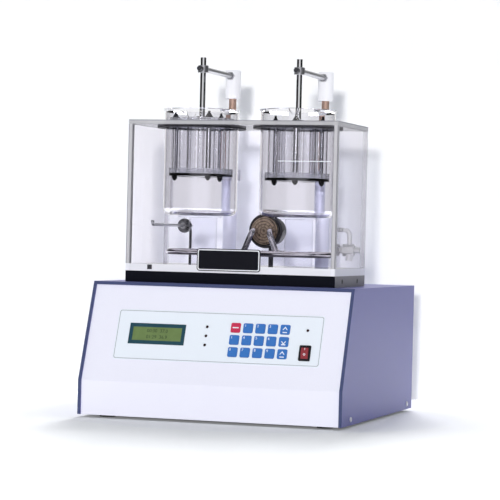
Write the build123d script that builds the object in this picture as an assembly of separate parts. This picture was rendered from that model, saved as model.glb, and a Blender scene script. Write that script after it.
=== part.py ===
from build123d import *
import math
import os

# Tablet disintegration tester: cabinet with a keypad, clear water bath, two beakers and two basket racks.
# Millimetres. +Z is up, the control panel faces -Y, and the origin is on the table under the middle.

# Cabinet
CABINET_W = 376.0
CABINET_D = 384.0
SHEET = 1.5
FOOT_H = 4.0
FOOT_R = 11.0
FOOT_INSET = 32.0
FRONT_STRIP_H = 47.0
TOP_SETBACK = 50.0
RIM_T = 2.0
RIM_W = 4.5
REAR_LIP = 3.0
TRAY_WALL_H = 16.0
SHEET_GAP = 0.3
SCREW_R = 1.9
SCREW_HEAD_R = 3.5
SCREW_HEAD_H = 2.0
SCREW_LENGTH = 7.0
SCREW_CLEARANCE = 0.2
SIDE_SCREW_FRONT = 42.0
SIDE_SCREW_REAR = 31.0
SCREW_Z = 8.0
REAR_SCREW_INSET = 18.0
TAB_W = 16.0
TAB_H = 14.0
VENT_COUNT = 9
VENT_W = 3.0
VENT_H = 44.0
VENT_PITCH = 9.0
VENT_X = 60.0
CUT = 1.0

# Control panel
OVERLAY_T = 0.5
OVERLAY_R = 4.0
OVERLAY_X = 4.0
OVERLAY_LIFT = 32.0
LCD_MARGIN = 19.0
LCD_W = 81.0
LCD_H = 29.4
LCD_RAISE = 1.8
LCD_DEPTH = 9.0
LCD_FRAME = 5.0
LCD_RECESS = 0.6
LED_GAP = 30.5
LED_R = 1.8
LED_PITCH = 13.0
LED_RAISE = 2.0
LED_DOME = 0.6
KEYPAD_GAP = 34.25
KEY_SIZE = 13.5
KEY_GAP_X = 4.0
KEY_GAP_Y = 3.75
KEY_R = 2.0
KEY_PROUD = 0.6
KEY_TRAVEL = 0.4
KEY_LIP = 1.2
KEY_LIP_T = 1.0
KEY_BOTTOM_MARGIN = 9.75
KEY_TOP_MARGIN = 14.25
PANEL_CLEARANCE = 0.3
SWITCH_GAP = 16.75
SWITCH_W = 16.0
SWITCH_H = 21.6
SWITCH_RIM = 2.7
SWITCH_BEZEL_T = 2.0
SWITCH_DEPTH = 18.0
SWITCH_FLANGE = 1.4
SWITCH_BOTTOM_MARGIN = 8.0
SWITCH_MARGIN = 14.0
ROCKER_TILT = 8.0
ROCKER_PEAK = 3.4
ROCKER_DROOP = 1.4
ROCKER_ROOT = 3.6
ROCKER_CLEARANCE = 0.3
ROCKER_PIN_R = 1.2
ROCKER_PIN_L = 0.6
BOARD_T = 1.6
BOARD_DEPTH = 11.0
BOARD_MARGIN = 6.0
SWITCH_PAD = 8.0
SPACER_R = 3.0
CHIP_W = 22.0
CHIP_H = 9.0
CHIP_T = 3.5
KEY_NAMES = [
    ["key_stop", "key_1", "key_2", "key_3", "key_up"],
    ["key_start", "key_4", "key_5", "key_6", "key_down"],
    ["key_0", "key_7", "key_8", "key_9", "key_enter"],
]

# Bath: the stations are the two beaker axes
STATION_PITCH = 143.0
BEAKER_R = 52.5
BEAKER_H = 150.0
BEAKER_WALL = 2.4
BEAKER_FLOOR = 3.0
BEAKER_HEEL_R = 9.0
RIM_FLARE = 2.2
RIM_H = 4.0
SPOUT_R = 11.0
SPOUT_H = 15.0
SPOUT_REACH = 47.0
SPOUT_TIP_R = 0.6
SPOUT_ANGLES = {"left": 128.0, "right": -79.0}
ACRYLIC_T = 6.0
FLOOR_T = 10.0
TANK_SIDE_GAP = 22.0
TANK_FRONT_GAP = 19.5
BEAKER_STAND = 18.5
TANK_STEP = 26.0
PLINTH_H = 15.5
PLINTH_WALL = 4.0
FASCIA_T = 2.0
LID_HOLE_GAP = 1.5
COLLAR_GAP = 0.7
COLLAR_WIDTH = 9.8
COLLAR_T = 2.5
PEDESTAL_H = 66.5
PEDESTAL_R = 20.0
PEDESTAL_BACK = 16.0
DISC_T = 3.0
DISC_R = 31.0
PLATE_W = 92.0
PLATE_H = 31.0
PLATE_T = 1.5
PLATE_R = 4.0
PLATE_Z = 2.5
CLIP_X = 116.0
CLIP_SIZE = 6.5
CLIP_T = 1.2

# Heater, probe and drain in the bath walls
HEATER_X = 5.0
HEATER_Z = 50.0
PLUG_R = 22.0
PLUG_T = 6.0
PLUG_STEP_R = 17.0
PLUG_STEP_T = 3.0
PLUG_THREAD_R = 15.0
PLUG_NUT_R = 21.0
PLUG_NUT_T = 5.0
GASKET_R = 25.0
GASKET_T = 2.5
TUBE_R = 4.25
TERMINAL_PITCH = 24.0
TERMINAL_SINK = 1.0
RISER_SPREAD = 13.0
LOOP_Z = 18.0
LOOP_SIDE_GAP = 35.0
LOOP_FRONT_GAP = 33.0
LOOP_END = 5.0
SMALL_BEND = 9.0
PROBE_GAP = 26.0
PROBE_Z = 55.0
PROBE_R = 2.2
PROBE_LENGTH = 132.0
PROBE_TIP = 6.0
PROBE_BEND = 3.2
GLAND_R = 3.8
GLAND_AF = 14.0
GLAND_NUT_T = 6.0
GLAND_WASHER_R = 10.5
WASHER_T = 1.5
DRAIN_Y = 34.0
DRAIN_Z = 26.0
DRAIN_R = 4.6
DRAIN_AF = 14.0
DRAIN_HEX_T = 14.0
DRAIN_NUT_T = 5.0
DRAIN_WASHER_R = 8.5
NIPPLE_R = 4.0
NIPPLE_BORE = 2.4
NIPPLE_L = 8.0
DRAIN_PLUG_L = 7.5
BYPASS_R = 3.1
BYPASS_RISE = 27.5
BYPASS_IN = 5.0
BYPASS_BEND_SHARE = 0.9
COVER_R = 20.0
COVER_L = 24.0
COVER_T = 2.0
LEAD_R = 3.5
PROBE_LEAD_R = 2.0
LEAD_TAIL = 22.0
LEAD_BEND = 10.0
LEAD_REACH = 20.0
GROMMET_R = 7.0
GROMMET_T = 2.5
WALL_CLEARANCE = 0.2

# Basket racks
TUBE_BORE_R = 10.9
TUBE_WALL = 1.6
TUBE_LENGTH = 79.0
TUBE_CIRCLE_R = 29.5
TUBE_COUNT = 6
RACK_PLATE_R = 45.5
RACK_PLATE_T = 7.5
RETAINER_T = 3.0
RACK_TUBE_CLEARANCE = 0.1
MESH_T = 0.8
MESH_PITCH = 5.0
MESH_WIRE = 1.2
MESH_CELLS = 3
STAY_R = 3.6
STAY_CIRCLE_R = 39.0
STAY_COUNT = 3
STAY_ANGLES = {"left": 184.0, "right": 163.0}
STAY_SCREW_R = 2.0
CONE_R = 6.0
CONE_H = 7.0
CONE_TOP_R = 1.6
BALL_R = 1.9
NUT_R = 4.0
NUT_H = 3.2
NUT_DOME_R = 2.8
SHAFT_R = 4.0
SHAFT_OVER_ARM = 16.5
SHAFT_HUB_R = 8.0
SHAFT_HUB_H = 3.0
RACK_CLEARANCE = 49.75
RACK_TRIM = 2.25

# Lift: rods, arms and their clamps
STROKE = 55.0
DRIVE_GAP = 56.0
ROD_R = 5.5
RUNNING_FIT = 0.05
COLUMN_R = 10.0
COLUMN_BORE_R = 7.5
COLUMN_H = 149.0
COLUMN_FLANGE_R = 17.0
COLUMN_FLANGE_T = 3.0
COLUMN_TAIL = 4.0
BUSH_BLOCK_AF = 24.0
BUSH_BLOCK_H = 16.0
BUSH_BLOCK_TURN = 20.0
LOWER_BUSH_H = 20.0
CAP_R = 11.3
CAP_H = 42.0
CAP_CHAMFER = 1.0
CAP_SOCKET = 26.0
ARM_HEIGHT = 75.0
ARM_TRIM = 1.5
ARM_IN_CAP = 33.0
ARM_R = 3.9
ARM_SINK = 9.0
ARM_NUT_AF = 10.5
ARM_NUT_T = 5.0
EYE_R = 7.5
EYE_H = 10.0
KNOB_R = 3.4
KNOB_L = 10.0
KNOB_STEM_R = 1.9
KNOB_FLUTES = 8
KNOB_FLUTE_R = 0.5
CLAMP_GAP = 0.3

# Drive inside the cabinet
CAM_BASE_R = 26.0
ROLLER_R = 8.0
CAM_T = 8.0
CAM_GAP = 0.3
CAM_FLOOR_GAP = 5.8
CAM_POINTS = 20
CROSSHEAD_H = 16.0
CROSSHEAD_D = 20.0
CROSSHEAD_END = 13.5
CROSSHEAD_TOP_GAP = 4.5
PIN_R = 3.0
PIN_HEAD_R = 5.0
PIN_HEAD_T = 2.0
ROLLER_BOSS_R = 5.0
ROLLER_SIDE_GAP = 0.3
ROLLER_OFFSET = 4.0
SHAFT10_R = 5.0
HUB_R = 11.0
HUB_L = 7.0
GEARBOX_SIZE = 60.0
GEARBOX_L = 40.0
GEARBOX_BEARING = 18.0
MOTOR_R = 28.0
MOTOR_L = 68.0
BRACKET_T = 3.0
BRACKET_FOOT = 52.0
BRACKET_W = 70.0
BRACKET_GAP = 1.5
CORE_W = 60.0
CORE_D = 50.0
CORE_H = 52.0
CORE_CENTRE_SHARE = 0.36
COIL_OUT = 12.0
COIL_GAP = 0.4
CORE_INSET = 24.0
INLET_INSET = 58.0
INLET_Z = 45.0
INLET_W = 50.0
INLET_H = 26.0
INLET_T = 2.4
INLET_BODY_W = 28.0
INLET_BODY_H = 20.5
INLET_BODY_D = 22.0
INLET_WALL = 2.0
INLET_POCKET = 16.0
INLET_PIN_W = 2.0
INLET_PIN_H = 4.0
INLET_PIN_L = 10.0
INLET_PIN_PITCH = 7.0

# Heights and depths worked out from the sizes above
CASE_Z = FOOT_H
LIFT_RATE = STROKE / math.pi
PITCH_MAX_R = CAM_BASE_R + STROKE
CAM_Z = CASE_Z + SHEET + CAM_FLOOR_GAP + PITCH_MAX_R - ROLLER_R - CAM_GAP
ROLLER_Z = CAM_Z + CAM_BASE_R + STROKE / 2
CROSSHEAD_TOP = CAM_Z + PITCH_MAX_R + CROSSHEAD_H / 2
DECK_Z = CROSSHEAD_TOP + CROSSHEAD_TOP_GAP + COLUMN_FLANGE_T + COLUMN_TAIL + SHEET
CABINET_H = DECK_Z - CASE_Z
PLINTH_TOP = DECK_Z + PLINTH_H
TANK_H = FLOOR_T + PEDESTAL_H + DISC_T + BEAKER_H - BEAKER_STAND
BATH_FLOOR_Z = PLINTH_TOP + FLOOR_T
TANK_TOP = PLINTH_TOP + TANK_H
LID_Z = TANK_TOP - ACRYLIC_T
TANK_W = STATION_PITCH + 2 * (BEAKER_R + TANK_SIDE_GAP + ACRYLIC_T)
TANK_D = 2 * (BEAKER_R + TANK_FRONT_GAP + ACRYLIC_T)
TANK_FRONT = -CABINET_D / 2 + TOP_SETBACK + TANK_STEP
TANK_BACK = TANK_FRONT + TANK_D
BATH_Y = TANK_FRONT + TANK_D / 2
DRIVE_Y = TANK_BACK + DRIVE_GAP
BEAKER_Z = BATH_FLOOR_Z + PEDESTAL_H + DISC_T
RACK_Z = BEAKER_Z + BEAKER_FLOOR + RACK_CLEARANCE
COLUMN_TOP = DECK_Z + COLUMN_H
HEATER_CZ = BATH_FLOOR_Z + HEATER_Z
PROBE_CZ = BATH_FLOOR_Z + PROBE_Z
PROBE_X = -TANK_W / 2 + ACRYLIC_T + PROBE_GAP
DRAIN_CY = TANK_FRONT + ACRYLIC_T + DRAIN_Y
DRAIN_CZ = BATH_FLOOR_Z + DRAIN_Z
SLOPE_L = math.hypot(TOP_SETBACK, CABINET_H - FRONT_STRIP_H)
SLOPE_COS = (CABINET_H - FRONT_STRIP_H) / SLOPE_L
SLOPE_SIN = TOP_SETBACK / SLOPE_L
PANEL_T = SHEET * SLOPE_COS
REAR_FACE = CABINET_D / 2 - REAR_LIP
INNER_W = CABINET_W - 2 * (SHEET + SHEET_GAP)
SIDES = {"left": -1, "right": 1}

# Places on the control panel, along it and up its slope from the crease
KEY_PITCH_X = KEY_SIZE + KEY_GAP_X
KEY_PITCH_Y = KEY_SIZE + KEY_GAP_Y
KEYPAD_W = KEY_SIZE + (len(KEY_NAMES[0]) - 1) * KEY_PITCH_X
KEYPAD_H = KEY_SIZE + (len(KEY_NAMES) - 1) * KEY_PITCH_Y
OVERLAY_H = KEY_BOTTOM_MARGIN + KEYPAD_H + KEY_TOP_MARGIN
LED_OFFSET = LCD_MARGIN + LCD_W + LED_GAP
OVERLAY_W = LED_OFFSET + KEYPAD_GAP + KEYPAD_W + SWITCH_GAP + SWITCH_W + SWITCH_MARGIN
OVERLAY_LEFT = OVERLAY_X - OVERLAY_W / 2
OVERLAY_MID = OVERLAY_LIFT + OVERLAY_H / 2
LCD_X = OVERLAY_LEFT + LCD_MARGIN + LCD_W / 2
LCD_V = OVERLAY_MID + LCD_RAISE
LED_X = OVERLAY_LEFT + LED_OFFSET
LED_V = OVERLAY_MID + LED_RAISE
KEY_X = LED_X + KEYPAD_GAP + KEY_SIZE / 2
KEY_V = OVERLAY_LIFT + KEY_BOTTOM_MARGIN + KEY_SIZE / 2
SWITCH_X = LED_X + KEYPAD_GAP + KEYPAD_W + SWITCH_GAP + SWITCH_W / 2
SWITCH_V = OVERLAY_LIFT + SWITCH_BOTTOM_MARGIN + SWITCH_H / 2
LED_PLACES = [(LED_X, LED_V + step * LED_PITCH) for step in (1, 0, -1)]
LED_PLACES.append((SWITCH_X, LED_V + LED_PITCH))
PANEL = Plane(
    origin=(0, -CABINET_D / 2 + RIM_T, CASE_Z + FRONT_STRIP_H),
    x_dir=(1, 0, 0),
    z_dir=(0, -SLOPE_COS, SLOPE_SIN),
)


def station_x(side):
    return SIDES[side] * STATION_PITCH / 2


def box(x0, x1, y0, y1, z0, z1):
    centre = Pos((x0 + x1) / 2, (y0 + y1) / 2, (z0 + z1) / 2)
    return centre * Box(x1 - x0, y1 - y0, z1 - z0)


def rod_z(radius, z0, z1, x, y):
    return Pos(x, y, (z0 + z1) / 2) * Cylinder(radius, z1 - z0)


def rod_y(radius, y0, y1, x, z):
    return Pos(x, (y0 + y1) / 2, z) * Rot(90, 0, 0) * Cylinder(radius, y1 - y0)


def rod_x(radius, x0, x1, y, z):
    return Pos((x0 + x1) / 2, y, z) * Rot(0, 90, 0) * Cylinder(radius, x1 - x0)


def hexagon(across_flats, length):
    sketch = RegularPolygon(across_flats / 2, 6, major_radius=False)
    return Pos(0, 0, -length / 2) * extrude(sketch, amount=length)


def hex_y(across_flats, y0, y1, x, z):
    return Pos(x, (y0 + y1) / 2, z) * Rot(90, 0, 0) * hexagon(across_flats, y1 - y0)


def hex_x(across_flats, x0, x1, y, z):
    return Pos((x0 + x1) / 2, y, z) * Rot(0, 90, 0) * hexagon(across_flats, x1 - x0)


def ring_z(outer, inner, z0, z1, x, y):
    return rod_z(outer, z0, z1, x, y) - rod_z(inner, z0 - CUT, z1 + CUT, x, y)


def on_panel(u, v, w, shape):
    return PANEL * Pos(u, v, w) * shape


def panel_block(u, v, w0, w1, width, height, radius=0.0):
    if radius:
        shape = extrude(RectangleRounded(width, height, radius), amount=w1 - w0)
        return on_panel(u, v, w0, shape)
    return on_panel(u, v, (w0 + w1) / 2, Box(width, height, w1 - w0))


def tube_along(points, radii, radius):
    path = FilletPolyline(*points, radius=radii)
    section = Plane(origin=path @ 0, z_dir=path % 0) * Circle(radius)
    return sweep(section, path=path)


def solids_of(shapes):
    found = []
    for shape in shapes:
        found.extend(shape.solids())
    return found


def write(name, *shapes):
    parts = solids_of(shapes)
    whole = parts[0] if len(parts) == 1 else Compound(children=parts)
    export_step(whole, os.path.join("parts", name + ".step"))


# Cabinet


def side_outline(inset, top):
    front = -CABINET_D / 2 + inset
    points = [
        (front, CASE_Z),
        (front, CASE_Z + FRONT_STRIP_H),
        (front + TOP_SETBACK * (top - CASE_Z - FRONT_STRIP_H) / (CABINET_H - FRONT_STRIP_H), top),
        (CABINET_D / 2, top),
        (CABINET_D / 2, CASE_Z),
    ]
    return Plane.YZ * Polygon(*points, align=None)


def side_screw_places():
    return [-CABINET_D / 2 + SIDE_SCREW_FRONT, CABINET_D / 2 - SIDE_SCREW_REAR]


def rear_screw_places():
    across = CABINET_W / 2 - REAR_SCREW_INSET
    return [(sign * across, z) for sign in (-1, 1) for z in (CASE_Z + SCREW_Z, DECK_Z - SCREW_Z)]


def deck_holes():
    cuts = []
    low = DECK_Z - SHEET - CUT
    high = DECK_Z + CUT
    for side in SIDES:
        cuts.append(rod_z(COLUMN_R + WALL_CLEARANCE, low, high, station_x(side), DRIVE_Y))
    for x, y in lead_places():
        cuts.append(rod_z(GROMMET_R, low, high, x, y))
    return cuts


def lead_places():
    y = TANK_BACK + LEAD_REACH
    return [(HEATER_X, y), (PROBE_X, y)]


def cabinet_cover():
    shell = extrude(side_outline(0, DECK_Z), amount=CABINET_W / 2, both=True)
    shell -= extrude(side_outline(RIM_T, DECK_Z - SHEET), amount=CABINET_W / 2 - SHEET, both=True)
    mouth = CABINET_W / 2 - RIM_W
    shell -= box(-mouth, mouth, -CABINET_D, 0, CASE_Z - CUT, DECK_Z - RIM_W)
    for sign in (-1, 1):
        x = sign * (CABINET_W / 2 - REAR_SCREW_INSET)
        tab_back = REAR_FACE - SHEET
        half = TAB_W / 2
        shell += box(x - half, x + half, tab_back - SHEET, tab_back, DECK_Z - TAB_H, DECK_Z - SHEET)
    for y in side_screw_places():
        shell -= rod_x(SCREW_R + SCREW_CLEARANCE, -CABINET_W, CABINET_W, y, CASE_Z + SCREW_Z)
    for x, z in rear_screw_places():
        shell -= rod_y(SCREW_R + SCREW_CLEARANCE, REAR_FACE - TAB_W, REAR_FACE, x, z)
    for cut in deck_holes():
        shell -= cut
    return shell


def panel_cutouts(margin):
    deep = PANEL_T + CUT
    cuts = [panel_block(LCD_X, LCD_V, -deep, OVERLAY_T + CUT, LCD_W + 2 * margin, LCD_H + 2 * margin)]
    for u, v in LED_PLACES:
        hole = Cylinder(LED_R + margin, deep + OVERLAY_T + CUT)
        cuts.append(on_panel(u, v, (OVERLAY_T + CUT - deep) / 2, hole))
    for row, names in enumerate(KEY_NAMES):
        for column in range(len(names)):
            u, v = key_place(row, column)
            side = KEY_SIZE + 2 * margin
            cuts.append(panel_block(u, v, -deep, OVERLAY_T + CUT, side, side, KEY_R + margin))
    width = SWITCH_W - 2 * SWITCH_FLANGE + 2 * margin
    height = SWITCH_H - 2 * SWITCH_FLANGE + 2 * margin
    cuts.append(panel_block(SWITCH_X, SWITCH_V, -deep, OVERLAY_T + CUT, width, height))
    return cuts


def front_panel():
    top = DECK_Z - SHEET - SHEET_GAP
    sheet = extrude(side_outline(RIM_T, top), amount=INNER_W / 2, both=True)
    sheet -= extrude(side_outline(RIM_T + SHEET, top), amount=CABINET_W, both=True)
    for cut in panel_cutouts(PANEL_CLEARANCE):
        sheet -= cut
    return sheet


def rear_panel():
    top = DECK_Z - SHEET - SHEET_GAP
    sheet = box(-INNER_W / 2, INNER_W / 2, REAR_FACE - SHEET, REAR_FACE, CASE_Z, top)
    x = inlet_x()
    z = CASE_Z + INLET_Z
    half_w = INLET_BODY_W / 2 + PANEL_CLEARANCE
    half_h = INLET_BODY_H / 2 + PANEL_CLEARANCE
    sheet -= box(x - half_w, x + half_w, REAR_FACE - TAB_W, REAR_FACE + CUT, z - half_h, z + half_h)
    for index in range(VENT_COUNT):
        x = -VENT_X + (index - (VENT_COUNT - 1) / 2) * VENT_PITCH
        z = CASE_Z + CABINET_H / 2
        slot = Rot(90, 0, 0) * extrude(SlotOverall(VENT_H, VENT_W, rotation=90), amount=TAB_W, both=True)
        sheet -= Pos(x, REAR_FACE, z) * slot
    for x, z in rear_screw_places():
        sheet -= rod_y(SCREW_R + SCREW_CLEARANCE, REAR_FACE - TAB_W, REAR_FACE + CUT, x, z)
    return sheet


def chassis_base():
    front = -CABINET_D / 2 + RIM_T + SHEET
    back = REAR_FACE - SHEET
    half = INNER_W / 2
    tray = box(-half, half, front, back, CASE_Z, CASE_Z + TRAY_WALL_H)
    tray -= box(-half + SHEET, half - SHEET, front + SHEET, back - SHEET, CASE_Z + SHEET, DECK_Z)
    for y in side_screw_places():
        tray -= rod_x(SCREW_R + SCREW_CLEARANCE, -CABINET_W, CABINET_W, y, CASE_Z + SCREW_Z)
    for x, z in rear_screw_places():
        tray -= rod_y(SCREW_R + SCREW_CLEARANCE, back - TAB_W, back + CUT, x, z)
    return tray


def rubber_feet():
    feet = []
    for sx in (-1, 1):
        for sy in (-1, 1):
            x = sx * (CABINET_W / 2 - FOOT_INSET)
            y = sy * (CABINET_D / 2 - FOOT_INSET)
            feet.append(rod_z(FOOT_R, 0, FOOT_H, x, y))
    return feet


def screw():
    head = Pos(0, 0, SCREW_HEAD_H / 2) * Cylinder(SCREW_HEAD_R, SCREW_HEAD_H)
    head = fillet(head.edges().group_by(Axis.Z)[-1], SCREW_HEAD_H / 2)
    shank = Pos(0, 0, -SCREW_LENGTH / 2) * Cylinder(SCREW_R, SCREW_LENGTH)
    return head + shank


def case_screws():
    screws = []
    for sign in (-1, 1):
        for y in side_screw_places():
            place = Pos(sign * CABINET_W / 2, y, CASE_Z + SCREW_Z)
            screws.append(place * Rot(0, sign * 90, 0) * screw())
        for y in plinth_screw_places():
            x = sign * (TANK_W / 2 - SCREW_HEAD_H)
            screws.append(Pos(x, y, DECK_Z + PLINTH_H / 2) * Rot(0, sign * 90, 0) * screw())
    for x, z in rear_screw_places():
        screws.append(Pos(x, REAR_FACE, z) * Rot(-90, 0, 0) * screw())
    return screws


# Control panel


def key_place(row, column):
    rows_up = len(KEY_NAMES) - 1 - row
    return KEY_X + column * KEY_PITCH_X, KEY_V + rows_up * KEY_PITCH_Y


def control_overlay():
    sheet = panel_block(OVERLAY_X, OVERLAY_MID, 0, OVERLAY_T, OVERLAY_W, OVERLAY_H, OVERLAY_R)
    for cut in panel_cutouts(PANEL_CLEARANCE):
        sheet -= cut
    return sheet


def display_module():
    front = OVERLAY_T
    frame = panel_block(LCD_X, LCD_V, front - LCD_DEPTH, front, LCD_W, LCD_H)
    width = LCD_W - 2 * LCD_FRAME
    height = LCD_H - 2 * LCD_FRAME
    return frame - panel_block(LCD_X, LCD_V, front - LCD_RECESS, front + CUT, width, height)


def indicator_leds():
    lamps = []
    back = -BOARD_DEPTH
    for u, v in LED_PLACES:
        length = OVERLAY_T + LED_DOME - back
        lamp = Cylinder(LED_R, length)
        lamp = fillet(lamp.edges().group_by(Axis.Z)[-1], LED_R / 2)
        lamps.append(on_panel(u, v, back + length / 2, lamp))
    return lamps


def key(row, column):
    u, v = key_place(row, column)
    seat = -PANEL_T - CLAMP_GAP / 2
    cap = panel_block(u, v, seat, OVERLAY_T + KEY_PROUD, KEY_SIZE, KEY_SIZE, KEY_R)
    lip = KEY_SIZE + 2 * KEY_LIP
    return cap + panel_block(u, v, seat - KEY_LIP_T, seat, lip, lip, KEY_R)


def power_switch_body():
    front = OVERLAY_T + SWITCH_BEZEL_T
    bezel = panel_block(SWITCH_X, SWITCH_V, OVERLAY_T, front, SWITCH_W, SWITCH_H, SWITCH_FLANGE)
    width = SWITCH_W - 2 * SWITCH_FLANGE
    height = SWITCH_H - 2 * SWITCH_FLANGE
    body = bezel + panel_block(SWITCH_X, SWITCH_V, -SWITCH_DEPTH, OVERLAY_T, width, height)
    width = SWITCH_W - 2 * SWITCH_RIM
    height = SWITCH_H - 2 * SWITCH_RIM
    pocket = front - SWITCH_BEZEL_T - ROCKER_ROOT - 2 * ROCKER_CLEARANCE
    body -= panel_block(SWITCH_X, SWITCH_V, pocket, front + CUT, width, height)
    bearing = Cylinder(ROCKER_PIN_R + RUNNING_FIT, width + 2 * (ROCKER_PIN_L + ROCKER_CLEARANCE))
    return body - on_panel(SWITCH_X, SWITCH_V, OVERLAY_T, Rot(0, 90, 0) * bearing)


def power_rocker():
    half = SWITCH_H / 2 - SWITCH_RIM - 2 * ROCKER_CLEARANCE
    width = SWITCH_W - 2 * SWITCH_RIM - 2 * ROCKER_CLEARANCE
    points = [
        (-half, 0),
        (-half, ROCKER_PEAK - ROCKER_DROOP),
        (0, ROCKER_PEAK),
        (half, ROCKER_PEAK - ROCKER_DROOP),
        (half, 0),
        (0, -ROCKER_ROOT),
    ]
    blank = extrude(Plane.YZ * Polygon(*points, align=None), amount=width / 2, both=True)
    reach = width + 2 * (ROCKER_CLEARANCE + ROCKER_PIN_L)
    blank += Rot(0, 90, 0) * Cylinder(ROCKER_PIN_R, reach)
    return on_panel(SWITCH_X, SWITCH_V, OVERLAY_T, Rot(ROCKER_TILT, 0, 0) * blank)


def control_board():
    left = LCD_X - LCD_W / 2 - BOARD_MARGIN
    right = KEY_X + KEYPAD_W + BOARD_MARGIN / 2
    middle = (left + right) / 2
    front = -BOARD_DEPTH
    height = OVERLAY_H - BOARD_MARGIN
    board = [panel_block(middle, OVERLAY_MID, front - BOARD_T, front, right - left, height)]
    seat = -PANEL_T - CLAMP_GAP / 2 - KEY_LIP_T
    for row, names in enumerate(KEY_NAMES):
        for column in range(len(names)):
            u, v = key_place(row, column)
            top = seat - KEY_TRAVEL - CLAMP_GAP
            board.append(panel_block(u, v, front, top, SWITCH_PAD, SWITCH_PAD))
    for u in (left + SPACER_R, right - SPACER_R):
        for end in (-1, 1):
            v = OVERLAY_MID + end * (height / 2 - SPACER_R)
            length = BOARD_DEPTH - PANEL_T
            board.append(on_panel(u, v, front + length / 2, Cylinder(SPACER_R, length)))
    for u in (LCD_X, LED_X):
        board.append(panel_block(u, OVERLAY_MID, front - BOARD_T - CHIP_T, front - BOARD_T, CHIP_W, CHIP_H))
    rest = front + BOARD_DEPTH + OVERLAY_T - LCD_DEPTH
    board.append(panel_block(LCD_X, LCD_V, front, rest, LCD_W - 2 * LCD_FRAME, CHIP_H))
    return board


# Bath


def plinth_screw_places():
    quarter = TANK_D / 4
    return [BATH_Y - quarter, BATH_Y + quarter]


def tank_plinth():
    front = TANK_FRONT + FASCIA_T
    slab = box(-TANK_W / 2, TANK_W / 2, front, TANK_BACK, DECK_Z, PLINTH_TOP)
    inside = TANK_W / 2 - PLINTH_WALL
    y0 = front + PLINTH_WALL
    y1 = TANK_BACK - PLINTH_WALL
    slab -= box(-inside, inside, y0, y1, DECK_Z - CUT, PLINTH_TOP - PLINTH_WALL)
    for sign in (-1, 1):
        for y in plinth_screw_places():
            z = DECK_Z + PLINTH_H / 2
            seat = TANK_W / 2 - SCREW_HEAD_H
            outer = sorted((sign * seat, sign * (seat + TANK_W)))
            inner = sorted((sign * (inside - CUT), sign * seat))
            slab -= rod_x(SCREW_HEAD_R + SCREW_CLEARANCE, outer[0], outer[1], y, z)
            slab -= rod_x(SCREW_R + SCREW_CLEARANCE, inner[0], inner[1], y, z)
    return slab


def plinth_fascia():
    return box(-TANK_W / 2, TANK_W / 2, TANK_FRONT, TANK_FRONT + FASCIA_T, DECK_Z, PLINTH_TOP)


def tank_shell():
    half = TANK_W / 2
    front = box(-half, half, TANK_FRONT, TANK_FRONT + ACRYLIC_T, PLINTH_TOP, LID_Z)
    back = box(-half, half, TANK_BACK - ACRYLIC_T, TANK_BACK, PLINTH_TOP, LID_Z)
    back -= rod_y(PLUG_THREAD_R + WALL_CLEARANCE, BATH_Y, TANK_BACK + CUT, HEATER_X, HEATER_CZ)
    back -= rod_y(GLAND_R + WALL_CLEARANCE, BATH_Y, TANK_BACK + CUT, PROBE_X, PROBE_CZ)
    y0 = TANK_FRONT + ACRYLIC_T
    y1 = TANK_BACK - ACRYLIC_T
    left = box(-half, -half + ACRYLIC_T, y0, y1, PLINTH_TOP, LID_Z)
    right = box(half - ACRYLIC_T, half, y0, y1, PLINTH_TOP, LID_Z)
    right -= rod_x(DRAIN_R + WALL_CLEARANCE, 0, TANK_W, DRAIN_CY, DRAIN_CZ)
    right -= rod_x(BYPASS_R + WALL_CLEARANCE, 0, TANK_W, DRAIN_CY, DRAIN_CZ + BYPASS_RISE)
    floor = box(-half + ACRYLIC_T, half - ACRYLIC_T, y0, y1, PLINTH_TOP, BATH_FLOOR_Z)
    return [front, back, left, right, floor]


def tank_lid():
    lid = box(-TANK_W / 2, TANK_W / 2, TANK_FRONT, TANK_BACK, LID_Z, TANK_TOP)
    for side in SIDES:
        radius = BEAKER_R + LID_HOLE_GAP
        lid -= rod_z(radius, LID_Z - CUT, TANK_TOP + CUT, station_x(side), BATH_Y)
    return lid


def bath_seals():
    seals = []
    for side in SIDES:
        inner = BEAKER_R + COLLAR_GAP
        x = station_x(side)
        seals.append(ring_z(inner + COLLAR_WIDTH, inner, LID_Z - COLLAR_T, LID_Z, x, BATH_Y))
    wall = TANK_BACK - ACRYLIC_T
    gasket = rod_y(GASKET_R, wall - GASKET_T, wall, HEATER_X, HEATER_CZ)
    hole = PLUG_THREAD_R + WALL_CLEARANCE
    seals.append(gasket - rod_y(hole, wall - GASKET_T - CUT, wall + CUT, HEATER_X, HEATER_CZ))
    z = PLINTH_TOP + PLATE_Z
    y = TANK_FRONT
    seals.append(box(-CLIP_X - CLIP_SIZE / 2, -CLIP_X + CLIP_SIZE / 2, y - CLIP_T, y, z, z + CLIP_SIZE))
    return seals


def beaker_pedestals():
    stands = []
    for side in SIDES:
        x = station_x(side)
        y = BATH_Y + PEDESTAL_BACK
        top = BATH_FLOOR_Z + PEDESTAL_H
        stands.append(rod_z(PEDESTAL_R, BATH_FLOOR_Z, top, x, y))
        stands.append(rod_z(DISC_R, top, top + DISC_T, x, BATH_Y))
    return stands


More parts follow.
